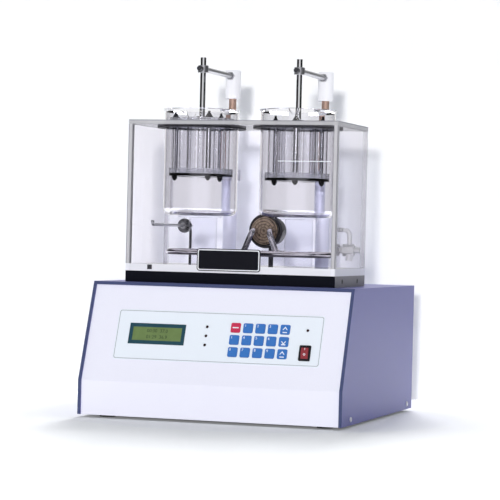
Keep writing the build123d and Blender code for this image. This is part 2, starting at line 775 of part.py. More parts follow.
def beaker(side):
    body = Pos(0, 0, BEAKER_H / 2) * Cylinder(BEAKER_R, BEAKER_H)
    body = fillet(body.edges().group_by(Axis.Z)[0], BEAKER_HEEL_R)
    flare = Cone(BEAKER_R, BEAKER_R + RIM_FLARE, RIM_H)
    body += Pos(0, 0, BEAKER_H - RIM_H / 2) * flare
    spout_z = BEAKER_H - SPOUT_H / 2
    body += Pos(SPOUT_REACH, 0, spout_z) * Cone(SPOUT_TIP_R + BEAKER_WALL, SPOUT_R, SPOUT_H)
    inner_r = BEAKER_R - BEAKER_WALL
    inner_h = BEAKER_H - BEAKER_FLOOR
    inside = Pos(0, 0, BEAKER_FLOOR + inner_h / 2) * Cylinder(inner_r, inner_h)
    inside = fillet(inside.edges().group_by(Axis.Z)[0], BEAKER_HEEL_R - BEAKER_WALL)
    body -= inside
    body -= Pos(SPOUT_REACH, 0, spout_z) * Cone(SPOUT_TIP_R, SPOUT_R - BEAKER_WALL, SPOUT_H)
    return Pos(station_x(side), BATH_Y, BEAKER_Z) * Rot(0, 0, SPOUT_ANGLES[side]) * body


def name_plate():
    middle = (0, TANK_FRONT, PLINTH_TOP + PLATE_Z + PLATE_H / 2)
    face = Plane(origin=middle, x_dir=(1, 0, 0), z_dir=(0, -1, 0))
    return face * extrude(RectangleRounded(PLATE_W, PLATE_H, PLATE_R), amount=PLATE_T)


def heater_plug():
    wall = TANK_BACK - ACRYLIC_T
    seat = wall - GASKET_T
    face = seat - PLUG_T - PLUG_STEP_T
    plug = rod_y(PLUG_R, seat - PLUG_T, seat, HEATER_X, HEATER_CZ)
    plug += rod_y(PLUG_STEP_R, face, seat - PLUG_T, HEATER_X, HEATER_CZ)
    plug += rod_y(PLUG_THREAD_R, seat, TANK_BACK + PLUG_NUT_T, HEATER_X, HEATER_CZ)
    for sign in (-1, 1):
        x = HEATER_X + sign * TERMINAL_PITCH / 2
        plug -= rod_y(TUBE_R + WALL_CLEARANCE, face - CUT, face + TERMINAL_SINK, x, HEATER_CZ)
    nut = hex_y(2 * PLUG_NUT_R, TANK_BACK, TANK_BACK + PLUG_NUT_T, HEATER_X, HEATER_CZ)
    bore = PLUG_THREAD_R + WALL_CLEARANCE
    nut -= rod_y(bore, TANK_BACK - CUT, TANK_BACK + PLUG_NUT_T + CUT, HEATER_X, HEATER_CZ)
    return [plug, nut]


def heater_element():
    start = TANK_BACK - ACRYLIC_T - GASKET_T - PLUG_T - PLUG_STEP_T + TERMINAL_SINK
    half_w = TANK_D / 2 - LOOP_FRONT_GAP
    half_l = TANK_W / 2 - LOOP_SIDE_GAP
    y0 = BATH_Y - half_w
    y1 = BATH_Y + half_w
    low = BATH_FLOOR_Z + LOOP_Z
    half_pitch = TERMINAL_PITCH / 2
    points = [
        (HEATER_X - half_pitch, start, HEATER_CZ),
        (HEATER_X - half_pitch, y1, HEATER_CZ),
        (HEATER_X - half_pitch - RISER_SPREAD, y1, low),
        (HEATER_X - half_l, y1, low),
        (HEATER_X - half_l, y0, low),
        (HEATER_X + half_l, y0, low),
        (HEATER_X + half_l, y1, low),
        (HEATER_X + half_pitch + RISER_SPREAD, y1, low),
        (HEATER_X + half_pitch, y1, HEATER_CZ),
        (HEATER_X + half_pitch, start, HEATER_CZ),
    ]
    small = [SMALL_BEND, SMALL_BEND]
    return tube_along(points, small + [half_w - LOOP_END] * 4 + small, TUBE_R)


def temperature_probe():
    wall = TANK_BACK - ACRYLIC_T
    nut_y = wall - WASHER_T - GLAND_NUT_T
    tip_y = wall - PROBE_LENGTH
    points = [
        (PROBE_X, nut_y, PROBE_CZ),
        (PROBE_X, tip_y, PROBE_CZ),
        (PROBE_X, tip_y, PROBE_CZ + PROBE_TIP),
    ]
    stem = tube_along(points, [PROBE_BEND], PROBE_R)
    nut = hex_y(GLAND_AF, nut_y, wall - WASHER_T, PROBE_X, PROBE_CZ)
    thread = rod_y(GLAND_R, wall - WASHER_T, TANK_BACK + WASHER_T + GLAND_NUT_T, PROBE_X, PROBE_CZ)
    washer = rod_y(GLAND_WASHER_R, wall - WASHER_T, wall, PROBE_X, PROBE_CZ)
    hole = GLAND_R + WALL_CLEARANCE
    washer -= rod_y(hole, wall - WASHER_T - CUT, wall + CUT, PROBE_X, PROBE_CZ)
    rear = hex_y(GLAND_AF, TANK_BACK, TANK_BACK + GLAND_NUT_T, PROBE_X, PROBE_CZ)
    rear -= rod_y(hole, TANK_BACK - CUT, TANK_BACK + GLAND_NUT_T + CUT, PROBE_X, PROBE_CZ)
    return [stem, nut + thread, washer, rear]


def drain_fitting():
    outer = TANK_W / 2
    inner = outer - ACRYLIC_T
    hex0 = outer + WASHER_T
    hex1 = hex0 + DRAIN_HEX_T
    body = rod_x(DRAIN_R, inner - DRAIN_NUT_T, hex0, DRAIN_CY, DRAIN_CZ)
    body += hex_x(DRAIN_AF, hex0, hex1, DRAIN_CY, DRAIN_CZ)
    body += rod_x(NIPPLE_R, hex1, hex1 + NIPPLE_L, DRAIN_CY, DRAIN_CZ)
    middle = (hex0 + hex1) / 2
    foot = DRAIN_CZ - DRAIN_AF / 2
    body += rod_z(DRAIN_R, foot - DRAIN_PLUG_L, foot + CUT, middle, DRAIN_CY)
    body -= rod_x(NIPPLE_BORE, inner - DRAIN_NUT_T - CUT, hex1 + NIPPLE_L + CUT, DRAIN_CY, DRAIN_CZ)
    hole = DRAIN_R + WALL_CLEARANCE
    washer = rod_x(DRAIN_WASHER_R, outer, hex0, DRAIN_CY, DRAIN_CZ)
    washer -= rod_x(hole, outer - CUT, hex0 + CUT, DRAIN_CY, DRAIN_CZ)
    nut = hex_x(DRAIN_AF, inner - DRAIN_NUT_T, inner, DRAIN_CY, DRAIN_CZ)
    nut -= rod_x(hole, inner - DRAIN_NUT_T - CUT, inner + CUT, DRAIN_CY, DRAIN_CZ)
    top = DRAIN_CZ + BYPASS_RISE
    points = [
        (inner - BYPASS_IN, DRAIN_CY, top),
        (middle, DRAIN_CY, top),
        (middle, DRAIN_CY, DRAIN_CZ + DRAIN_AF / 2),
    ]
    bend = (middle - outer) * BYPASS_BEND_SHARE
    bypass = tube_along(points, [bend], BYPASS_R)
    return [body, washer, nut, bypass]


def bath_leads():
    cup_front = TANK_BACK + PLUG_NUT_T
    cup = rod_y(COVER_R, cup_front, cup_front + COVER_L, HEATER_X, HEATER_CZ)
    inner = COVER_R - COVER_T
    cup -= rod_y(inner, cup_front - CUT, cup_front + COVER_L - COVER_T, HEATER_X, HEATER_CZ)
    (heater_x, lead_y), (probe_x, probe_y) = lead_places()
    low = DECK_Z - LEAD_TAIL
    entry = HEATER_CZ - inner
    cup -= rod_z(LEAD_R + WALL_CLEARANCE, HEATER_CZ - 2 * COVER_R, HEATER_CZ, heater_x, lead_y)
    heater_lead = rod_z(LEAD_R, low, entry, heater_x, lead_y)
    start = TANK_BACK + WASHER_T + GLAND_NUT_T
    points = [(probe_x, start, PROBE_CZ), (probe_x, probe_y, PROBE_CZ), (probe_x, probe_y, low)]
    probe_lead = tube_along(points, [LEAD_BEND], PROBE_LEAD_R)
    pieces = [cup, heater_lead, probe_lead]
    for (x, y), radius in zip(lead_places(), (LEAD_R, PROBE_LEAD_R)):
        grommet = rod_z(GROMMET_R - WALL_CLEARANCE, DECK_Z - SHEET, DECK_Z, x, y)
        grommet += rod_z(GROMMET_R + GROMMET_T, DECK_Z, DECK_Z + GROMMET_T, x, y)
        hole = radius + WALL_CLEARANCE
        pieces.append(grommet - rod_z(hole, DECK_Z - LEAD_TAIL, DECK_Z + LEAD_TAIL, x, y))
    return pieces


# Basket racks


def rack_bottom(side):
    return RACK_Z - SIDES[side] * RACK_TRIM


def arm_z(side):
    return TANK_TOP + ARM_HEIGHT - SIDES[side] * ARM_TRIM


def mesh_top(side):
    return rack_bottom(side) + RETAINER_T + MESH_T


def rack_top(side):
    return mesh_top(side) + TUBE_LENGTH


def around(count, radius, turn):
    step = 360 / count
    angles = [math.radians(turn + index * step) for index in range(count)]
    return [(radius * math.cos(a), radius * math.sin(a)) for a in angles]


def tube_places(side):
    turn = STAY_ANGLES[side] + 180 / TUBE_COUNT
    return around(TUBE_COUNT, TUBE_CIRCLE_R, turn)


def rack_plates(side):
    low = mesh_top(side)
    hole = TUBE_BORE_R + TUBE_WALL + RACK_TUBE_CLEARANCE
    plates = []
    for z in (low, rack_top(side) - RACK_PLATE_T):
        plate = rod_z(RACK_PLATE_R, z, z + RACK_PLATE_T, 0, 0)
        for x, y in tube_places(side):
            plate -= rod_z(hole, z - CUT, z + RACK_PLATE_T + CUT, x, y)
        for x, y in around(STAY_COUNT, STAY_CIRCLE_R, STAY_ANGLES[side]):
            plate -= rod_z(STAY_SCREW_R + WALL_CLEARANCE, z - CUT, z + RACK_PLATE_T + CUT, x, y)
        plates.append(plate)
    return [Pos(station_x(side), BATH_Y, 0) * plate for plate in plates]


def rack_tubes(side):
    tubes = []
    for x, y in tube_places(side):
        tube = ring_z(TUBE_BORE_R + TUBE_WALL, TUBE_BORE_R, mesh_top(side), rack_top(side), x, y)
        tubes.append(Pos(station_x(side), BATH_Y, 0) * tube)
    return tubes


def retainer(side):
    low = rack_bottom(side)
    high = low + RETAINER_T
    disc = rod_z(RACK_PLATE_R, low, high, 0, 0)
    for x, y in tube_places(side):
        disc -= rod_z(TUBE_BORE_R, low - CUT, high + CUT, x, y)
    for x, y in around(STAY_COUNT, STAY_CIRCLE_R, STAY_ANGLES[side]):
        disc -= rod_z(STAY_SCREW_R + WALL_CLEARANCE, low - CUT, high + CUT, x, y)
    return disc


def mesh_disc(side):
    low = rack_bottom(side) + RETAINER_T
    disc = rod_z(RACK_PLATE_R, low, low + MESH_T, 0, 0)
    hole = MESH_PITCH - MESH_WIRE
    offsets = [(index - (MESH_CELLS - 1) / 2) * MESH_PITCH for index in range(MESH_CELLS)]
    for x, y in tube_places(side):
        for dx in offsets:
            for dy in offsets:
                disc -= Pos(x + dx, y + dy, low) * Box(hole, hole, 2 * (MESH_T + CUT))
    for x, y in around(STAY_COUNT, STAY_CIRCLE_R, STAY_ANGLES[side]):
        disc -= rod_z(STAY_SCREW_R + WALL_CLEARANCE, low - CUT, low + MESH_T + CUT, x, y)
    return disc


def cone_nut(z, x, y):
    cone = Pos(x, y, z + CONE_H / 2) * Cone(CONE_R, CONE_TOP_R, CONE_H)
    return cone + Pos(x, y, z + CONE_H + BALL_R / 2) * Sphere(BALL_R)


def stay(side, x, y):
    low = rack_bottom(side)
    high = rack_top(side)
    rod = rod_z(STAY_R, mesh_top(side) + RACK_PLATE_T, high - RACK_PLATE_T, x, y)
    rod += rod_z(STAY_SCREW_R, low - NUT_H, high, x, y)
    foot = rod_z(NUT_R, low - NUT_H, low, x, y)
    foot += Pos(x, y, low - NUT_H) * Sphere(NUT_DOME_R)
    return rod + foot + cone_nut(high, x, y)


def rack_frame(side):
    high = rack_top(side)
    shaft = rod_z(SHAFT_R, high, arm_z(side) + SHAFT_OVER_ARM, 0, 0)
    hub = ring_z(SHAFT_HUB_R, SHAFT_R + RUNNING_FIT, high, high + SHAFT_HUB_H, 0, 0)
    pieces = [shaft, hub, retainer(side), mesh_disc(side)]
    for x, y in around(STAY_COUNT, STAY_CIRCLE_R, STAY_ANGLES[side]):
        pieces.append(stay(side, x, y))
    return [Pos(station_x(side), BATH_Y, 0) * piece for piece in pieces]


# Lift


def cap_z(side):
    return arm_z(side) - ARM_IN_CAP


def guide_columns():
    columns = []
    low = DECK_Z - SHEET - COLUMN_FLANGE_T - COLUMN_TAIL
    for side in SIDES:
        x = station_x(side)
        tube = rod_z(COLUMN_R, low, COLUMN_TOP, x, DRIVE_Y)
        flange_top = DECK_Z - SHEET
        tube += rod_z(COLUMN_FLANGE_R, flange_top - COLUMN_FLANGE_T, flange_top, x, DRIVE_Y)
        columns.append(tube - rod_z(COLUMN_BORE_R, low - CUT, COLUMN_TOP + CUT, x, DRIVE_Y))
    return columns


def guide_bushes():
    bushes = []
    bore = ROD_R + RUNNING_FIT
    low = DECK_Z - SHEET - COLUMN_FLANGE_T - COLUMN_TAIL
    for side in SIDES:
        x = station_x(side)
        nut = Pos(x, DRIVE_Y, COLUMN_TOP + BUSH_BLOCK_H / 2) * Rot(0, 0, BUSH_BLOCK_TURN)
        nut *= hexagon(BUSH_BLOCK_AF, BUSH_BLOCK_H)
        bushes.append(nut - rod_z(bore, COLUMN_TOP - CUT, COLUMN_TOP + BUSH_BLOCK_H + CUT, x, DRIVE_Y))
        fit = COLUMN_BORE_R - RUNNING_FIT
        bushes.append(ring_z(fit, bore, low, low + LOWER_BUSH_H, x, DRIVE_Y))
    return bushes


def drive_rods():
    low = ROLLER_Z - CROSSHEAD_H / 2
    return [rod_z(ROD_R, low, cap_z(side) + CAP_SOCKET, station_x(side), DRIVE_Y) for side in SIDES]


def rod_caps():
    caps = []
    for side in SIDES:
        x = station_x(side)
        foot = cap_z(side)
        cap = rod_z(CAP_R, foot, foot + CAP_H, x, DRIVE_Y)
        cap = chamfer(cap.edges().group_by(Axis.Z)[-1], CAP_CHAMFER)
        cap -= rod_z(ROD_R + RUNNING_FIT, foot - CUT, foot + CAP_SOCKET, x, DRIVE_Y)
        front = DRIVE_Y - CAP_R
        cap -= rod_y(ARM_R + RUNNING_FIT, front - CUT, front + ARM_SINK, x, arm_z(side))
        caps.append(cap)
    return caps


def support_arms():
    arms = []
    for side in SIDES:
        x = station_x(side)
        z = arm_z(side)
        front = DRIVE_Y - CAP_R
        arm = rod_y(ARM_R, BATH_Y, front + ARM_SINK, x, z)
        arm += rod_z(EYE_R, z - EYE_H / 2, z + EYE_H / 2, x, BATH_Y)
        arm -= rod_z(SHAFT_R + RUNNING_FIT, z - EYE_H, z + EYE_H, x, BATH_Y)
        stem = KNOB_STEM_R + RUNNING_FIT
        arm -= rod_y(stem, BATH_Y - EYE_R - CUT, BATH_Y, x, z)
        nut = hex_y(ARM_NUT_AF, front - ARM_NUT_T, front, x, z)
        nut -= rod_y(ARM_R + RUNNING_FIT, front - ARM_NUT_T - CUT, front + CUT, x, z)
        arms.extend([arm, nut])
    return arms


def clamp_knob(side):
    x = station_x(side)
    z = arm_z(side)
    back = BATH_Y - EYE_R - CLAMP_GAP
    knob = rod_y(KNOB_R, back - KNOB_L, back, x, z)
    for dx, dz in around(KNOB_FLUTES, KNOB_R, 0):
        knob -= rod_y(KNOB_FLUTE_R, back - KNOB_L - CUT, back + CUT, x + dx, z + dz)
    return knob + rod_y(KNOB_STEM_R, back, BATH_Y - SHAFT_R - CLAMP_GAP, x, z)


# Drive


def cam_outline():
    # Heart cam: the roller's centre follows a spiral, and the flank lies one roller radius inside it.
    reach = ROLLER_R + CAM_GAP
    along = math.hypot(PITCH_MAX_R, LIFT_RATE)
    sideways = reach * LIFT_RATE / along
    last = math.pi - math.atan(sideways / (PITCH_MAX_R - reach * PITCH_MAX_R / along))
    flank = []
    for index in range(CAM_POINTS + 1):
        angle = last * index / CAM_POINTS
        radius = CAM_BASE_R + LIFT_RATE * angle
        along = math.hypot(radius, LIFT_RATE)
        outward = radius - reach * radius / along
        sideways = reach * LIFT_RATE / along
        x = outward * math.cos(angle) - sideways * math.sin(angle)
        z = outward * math.sin(angle) + sideways * math.cos(angle)
        flank.append((x, z))
    tip = (flank[-1][0], 0)
    return flank[:-1] + [tip]


def drive_cam():
    upper = cam_outline()
    lower = [(x, -z) for x, z in upper]
    notch = ThreePointArc(lower[0], (CAM_BASE_R - ROLLER_R - CAM_GAP, 0), upper[0])
    face = make_face([Spline(*upper), Spline(*reversed(lower)), notch])
    y0 = DRIVE_Y - CROSSHEAD_D / 2 - ROLLER_OFFSET - CAM_T
    plate = Plane(origin=(0, y0, CAM_Z), x_dir=(1, 0, 0), z_dir=(0, -1, 0)) * extrude(face, amount=-CAM_T)
    hub = rod_y(HUB_R, y0 - HUB_L, y0, 0, CAM_Z)
    bore = SHAFT10_R + WALL_CLEARANCE / 2
    plate = plate + hub - rod_y(bore, y0 - HUB_L - CUT, y0 + CAM_T + CUT, 0, CAM_Z)
    gearbox_face = y0 - HUB_L - BRACKET_GAP - BRACKET_T
    shaft = rod_y(SHAFT10_R, gearbox_face - GEARBOX_BEARING + CLAMP_GAP, y0 + CAM_T, 0, CAM_Z)
    return [plate, shaft]


def gearbox_front():
    cam_front = DRIVE_Y - CROSSHEAD_D / 2 - ROLLER_OFFSET - CAM_T
    return cam_front - HUB_L - BRACKET_GAP - BRACKET_T


def gearmotor():
    face = gearbox_front()
    half = GEARBOX_SIZE / 2
    gearbox = box(-half, half, face - GEARBOX_L, face, CAM_Z - half, CAM_Z + half)
    gearbox -= rod_y(SHAFT10_R + RUNNING_FIT, face - GEARBOX_BEARING, face + CUT, 0, CAM_Z)
    motor = rod_y(MOTOR_R, face - GEARBOX_L - MOTOR_L, face - GEARBOX_L, 0, CAM_Z)
    return [gearbox, motor]


def motor_bracket():
    face = gearbox_front()
    half = BRACKET_W / 2
    floor = CASE_Z + SHEET
    upright = box(-half, half, face, face + BRACKET_T, floor, CAM_Z + GEARBOX_SIZE / 2)
    upright -= rod_y(HUB_R, face - CUT, face + BRACKET_T + CUT, 0, CAM_Z)
    return upright + box(-half, half, face - BRACKET_FOOT, face, floor, floor + BRACKET_T)


def crosshead():
    half = STATION_PITCH / 2 + CROSSHEAD_END
    y0 = DRIVE_Y - CROSSHEAD_D / 2
    y1 = DRIVE_Y + CROSSHEAD_D / 2
    bar = box(-half, half, y0, y1, ROLLER_Z - CROSSHEAD_H / 2, ROLLER_Z + CROSSHEAD_H / 2)
    for side in SIDES:
        low = ROLLER_Z - CROSSHEAD_H
        bar -= rod_z(ROD_R + RUNNING_FIT, low, ROLLER_Z + CROSSHEAD_H, station_x(side), DRIVE_Y)
    roller_back = y0 - ROLLER_OFFSET
    bar += rod_y(ROLLER_BOSS_R, roller_back + ROLLER_SIDE_GAP, y0, 0, ROLLER_Z)
    roller_front = roller_back - CAM_T
    bar += rod_y(PIN_R, roller_front - ROLLER_SIDE_GAP, y0, 0, ROLLER_Z)
    head = roller_front - ROLLER_SIDE_GAP
    return bar + rod_y(PIN_HEAD_R, head - PIN_HEAD_T, head, 0, ROLLER_Z)


def cam_roller():
    back = DRIVE_Y - CROSSHEAD_D / 2 - ROLLER_OFFSET
    roller = rod_y(ROLLER_R, back - CAM_T, back, 0, ROLLER_Z)
    return roller - rod_y(PIN_R + RUNNING_FIT, back - CAM_T - CUT, back + CUT, 0, ROLLER_Z)


def power_transformer():
    x = -CABINET_W / 2 + CORE_INSET + CORE_W / 2
    y = DRIVE_Y
    floor = CASE_Z + SHEET
    core = Box(CORE_W, CORE_D, CORE_H)
    centre = CORE_W * CORE_CENTRE_SHARE
    side = (CORE_W - centre) / 4
    window = CORE_H - 2 * side
    for sign in (-1, 1):
        core -= Pos(sign * (centre / 2 + side / 2), 0, 0) * Box(side, CORE_D + CUT, window)
    width = centre + 2 * side - 2 * COIL_GAP
    coil = Box(width, CORE_D + COIL_OUT, window - 2 * COIL_GAP)
    coil -= Box(centre + 2 * COIL_GAP, CORE_D + 2 * COIL_GAP, CORE_H)
    place = Pos(x, y, floor + CORE_H / 2)
    return [place * core, place * coil]


def inlet_x():
    return CABINET_W / 2 - INLET_INSET


def mains_inlet():
    x = inlet_x()
    z = CASE_Z + INLET_Z
    wide = INLET_W / 2
    tall = INLET_H / 2
    flange = box(x - wide, x + wide, REAR_FACE, REAR_FACE + INLET_T, z - tall, z + tall)
    half_w = INLET_BODY_W / 2
    half_h = INLET_BODY_H / 2
    mouth = REAR_FACE + INLET_T
    inlet = flange + box(x - half_w, x + half_w, REAR_FACE - INLET_BODY_D, REAR_FACE, z - half_h, z + half_h)
    pocket_w = half_w - INLET_WALL
    pocket_h = half_h - INLET_WALL
    inlet -= box(x - pocket_w, x + pocket_w, mouth - INLET_POCKET, mouth + CUT, z - pocket_h, z + pocket_h)
    root = mouth - INLET_POCKET
    for index in (-1, 0, 1):
        px = x + index * INLET_PIN_PITCH
        half = INLET_PIN_W / 2
        rise = INLET_PIN_H / 2
        inlet += box(px - half, px + half, root - CUT, root + INLET_PIN_L, z - rise, z + rise)
    return inlet


os.makedirs("parts", exist_ok=True)
write("cabinet_cover", cabinet_cover())
write("front_panel", front_panel())
write("rear_panel", rear_panel())
write("chassis_base", chassis_base())
write("rubber_feet", *rubber_feet())
write("case_screws", *case_screws())
write("control_overlay", control_overlay())
write("display_module", display_module())
write("indicator_leds", *indicator_leds())
write("power_switch_body", power_switch_body())
write("power_rocker", power_rocker())
write("control_board", *control_board())
write("power_transformer", *power_transformer())
write("mains_inlet", mains_inlet())
write("gearmotor", *gearmotor())
write("motor_bracket", motor_bracket())
write("guide_columns", *guide_columns())
write("guide_bushes", *guide_bushes())
write("tank_plinth", tank_plinth())
write("plinth_fascia", plinth_fascia())
write("name_plate", name_plate())
write("tank_shell", *tank_shell())
write("tank_lid", tank_lid())
write("bath_seals", *bath_seals())
write("beaker_pedestals", *beaker_pedestals())
write("beakers", beaker("left"), beaker("right"))
write("heater_plug", *heater_plug())
write("heater_element", heater_element())
write("temperature_probe", *temperature_probe())
write("drain_fitting", *drain_fitting())
write("bath_leads", *bath_leads())
write("crosshead", crosshead())
write("drive_rods", *drive_rods())
write("rod_caps", *rod_caps())
write("support_arms", *support_arms())
write("drive_cam", *drive_cam())
write("cam_roller", cam_roller())
for side in SIDES:
    write(side + "_rack_frame", *rack_frame(side))
    write(side + "_rack_plates", *rack_plates(side))
    write(side + "_rack_tubes", *rack_tubes(side))
    write(side + "_clamp_knob", clamp_knob(side))
for row, names in enumerate(KEY_NAMES):
    for column, name in enumerate(names):
        write(name, key(row, column))
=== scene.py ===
import bpy
import bmesh
import math
from mathutils import Matrix, Vector


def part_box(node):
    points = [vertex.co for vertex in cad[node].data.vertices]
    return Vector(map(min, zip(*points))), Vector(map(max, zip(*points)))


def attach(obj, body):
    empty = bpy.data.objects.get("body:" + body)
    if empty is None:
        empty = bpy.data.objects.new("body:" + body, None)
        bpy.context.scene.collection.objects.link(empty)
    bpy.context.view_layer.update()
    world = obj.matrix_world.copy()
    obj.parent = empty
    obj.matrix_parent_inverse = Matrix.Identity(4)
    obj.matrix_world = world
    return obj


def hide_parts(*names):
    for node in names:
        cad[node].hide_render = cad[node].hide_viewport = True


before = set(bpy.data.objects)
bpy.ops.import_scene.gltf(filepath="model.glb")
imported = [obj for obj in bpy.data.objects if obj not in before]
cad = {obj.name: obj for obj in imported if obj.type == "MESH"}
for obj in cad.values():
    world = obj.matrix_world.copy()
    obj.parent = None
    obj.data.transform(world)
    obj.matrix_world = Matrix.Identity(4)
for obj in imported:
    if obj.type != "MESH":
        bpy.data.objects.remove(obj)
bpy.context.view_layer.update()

# The camera stands where the photograph's did: about three metres away, a little to the right of the front,
# level with the foot of the water bath. A long lens keeps the upright edges nearly parallel.
CAMERA_PLACE = Vector((0.93047, -2.86329, 0.25255))
CAMERA_TARGET = Vector((-0.0075, 0.0, 0.2336))
CAMERA_ROLL = math.radians(1.4)
CAMERA_LENS = 151.73
SENSOR_WIDTH = 36.0
VIEW_REACH = 60.0


def linked(name, data):
    """An object of the scene with this data, at the origin."""
    piece = bpy.data.objects.new(name, data)
    bpy.context.scene.collection.objects.link(piece)
    return piece


camera_data = bpy.data.cameras.new("photo_camera")
camera_data.lens = CAMERA_LENS
camera_data.sensor_width = SENSOR_WIDTH
camera_data.clip_end = VIEW_REACH
camera = linked("photo_camera", camera_data)
sight = (CAMERA_TARGET - CAMERA_PLACE).normalized()
level = sight.cross(Vector((0, 0, 1))).normalized()
upward = level.cross(sight)
camera_x = math.cos(CAMERA_ROLL) * level + math.sin(CAMERA_ROLL) * upward
camera_y = math.cos(CAMERA_ROLL) * upward - math.sin(CAMERA_ROLL) * level
turn = Matrix((camera_x, camera_y, -sight)).transposed()
camera.matrix_world = Matrix.Translation(CAMERA_PLACE) @ turn.to_4x4()
bpy.context.scene.camera = camera

# The studio has a small key lamp behind the camera and a little to its left, a wide lamp behind the object
# that throws the soft shadow forwards, and an even, slightly blue sky. In mirrors the sky is white ahead,
# behind, above and below, and the dark flags between give chrome and glass their black edges.
KEY_BEHIND = 3.0
KEY_LEFT = 0.5
KEY_ABOVE = 0.46
KEY_PLACE = CAMERA_PLACE - KEY_BEHIND * sight - KEY_LEFT * level + Vector((0, 0, KEY_ABOVE))
LAMP_AIM = Vector((0, 0, 0.25))
LAMPS = [
    ("key_lamp", KEY_PLACE, 0.26, 224.0, (1.0, 0.985, 0.96)),
    ("back_lamp", Vector((-0.5, 2.5, 1.9)), 0.9, 78.0, (1.0, 1.0, 1.0)),
]
SKY_COLOUR = (0.88, 0.94, 1.0)
SKY_STRENGTH = 0.33
FLAG_LEVEL = 0.03
FLAG_START = 0.78
FLAG_END = 0.93
OVERHEAD_START = 0.42
OVERHEAD_END = 0.62
for name, place, size, power, colour in LAMPS:
    lamp_data = bpy.data.lights.new(name, "AREA")
    lamp_data.size = size
    lamp_data.energy = power
    lamp_data.color = colour
    lamp = linked(name, lamp_data)
    lamp.location = place
    lamp.rotation_euler = (LAMP_AIM - place).to_track_quat("-Z", "Y").to_euler()
    lamp.visible_glossy = False


def worked(tree, operation, *values):
    """One math node on numbers or sockets."""
    node = tree.nodes.new("ShaderNodeMath")
    node.operation = operation
    for socket, value in zip(node.inputs, values):
        if isinstance(value, (int, float)):
            socket.default_value = value
        else:
            tree.links.new(value, socket)
    return node.outputs[0]


def eased(tree, value, low, high, start=0.0, end=1.0):
    """The value's share of the way from low to high, carried from start to end."""
    node = tree.nodes.new("ShaderNodeMapRange")
    node.inputs["From Min"].default_value = low
    node.inputs["From Max"].default_value = high
    node.inputs["To Min"].default_value = start
    node.inputs["To Max"].default_value = end
    tree.links.new(value, node.inputs["Value"])
    return node.outputs["Result"]


def seen_white(tree):
    """One for rays that show a surface or the sky, nought for the rays that only light things."""
    path = tree.nodes.new("ShaderNodeLightPath")
    shown = worked(tree, "MAXIMUM", path.outputs["Is Camera Ray"], path.outputs["Is Glossy Ray"])
    return worked(tree, "MAXIMUM", shown, path.outputs["Is Transmission Ray"])


sky = bpy.data.worlds.new("studio")
bpy.context.scene.world = sky
sky.use_nodes = True
sky_tree = sky.node_tree
sky_tree.nodes.clear()
heading = sky_tree.nodes.new("ShaderNodeTexCoord").outputs["Generated"]
along = sky_tree.nodes.new("ShaderNodeVectorMath")
along.operation = "DOT_PRODUCT"
along.inputs[1].default_value = (sight.x, sight.y, 0)
sky_tree.links.new(heading, along.inputs[0])
rise = sky_tree.nodes.new("ShaderNodeSeparateXYZ")
sky_tree.links.new(heading, rise.inputs[0])
lengthways = worked(sky_tree, "ABSOLUTE", along.outputs["Value"])
ends = eased(sky_tree, lengthways, FLAG_START, FLAG_END, FLAG_LEVEL)
overhead = eased(sky_tree, worked(sky_tree, "ABSOLUTE", rise.outputs["Z"]), OVERHEAD_START, OVERHEAD_END)
mirrored = worked(sky_tree, "MAXIMUM", ends, overhead)
sky_path = sky_tree.nodes.new("ShaderNodeLightPath")
shown_level = worked(sky_tree, "MAXIMUM", mirrored, sky_path.outputs["Is Camera Ray"])
even = sky_tree.nodes.new("ShaderNodeBackground")
even.inputs["Color"].default_value = (*SKY_COLOUR, 1)
even.inputs["Strength"].default_value = SKY_STRENGTH
white = sky_tree.nodes.new("ShaderNodeBackground")
white.inputs["Color"].default_value = (1, 1, 1, 1)
sky_tree.links.new(shown_level, white.inputs["Strength"])
choose = sky_tree.nodes.new("ShaderNodeMixShader")
sky_out = sky_tree.nodes.new("ShaderNodeOutputWorld")
sky_tree.links.new(seen_white(sky_tree), choose.inputs[0])
sky_tree.links.new(even.outputs[0], choose.inputs[1])
sky_tree.links.new(white.outputs[0], choose.inputs[2])
sky_tree.links.new(choose.outputs[0], sky_out.inputs[0])

# Floor and backdrop: one pale painted board under the object and one behind it, where the soft shadow falls.
# A little glow of their own makes both as white as the sky, further away on the floor more than near it.
FLOOR_SIZE = 24.0
FLOOR_COLOUR = (0.93, 0.935, 0.95)
BACKDROP_COLOUR = (0.87, 0.875, 0.885)
FLOOR_GLOW_NEAR = 0.04
FLOOR_GLOW_FAR = 0.6
BACKDROP_GLOW = 0.11
BACKDROP_BEHIND = 0.34
BACKDROP_HALF_W = 3.0
BACKDROP_H = 4.0
GLOW_START = 0.28
GLOW_END = 0.75


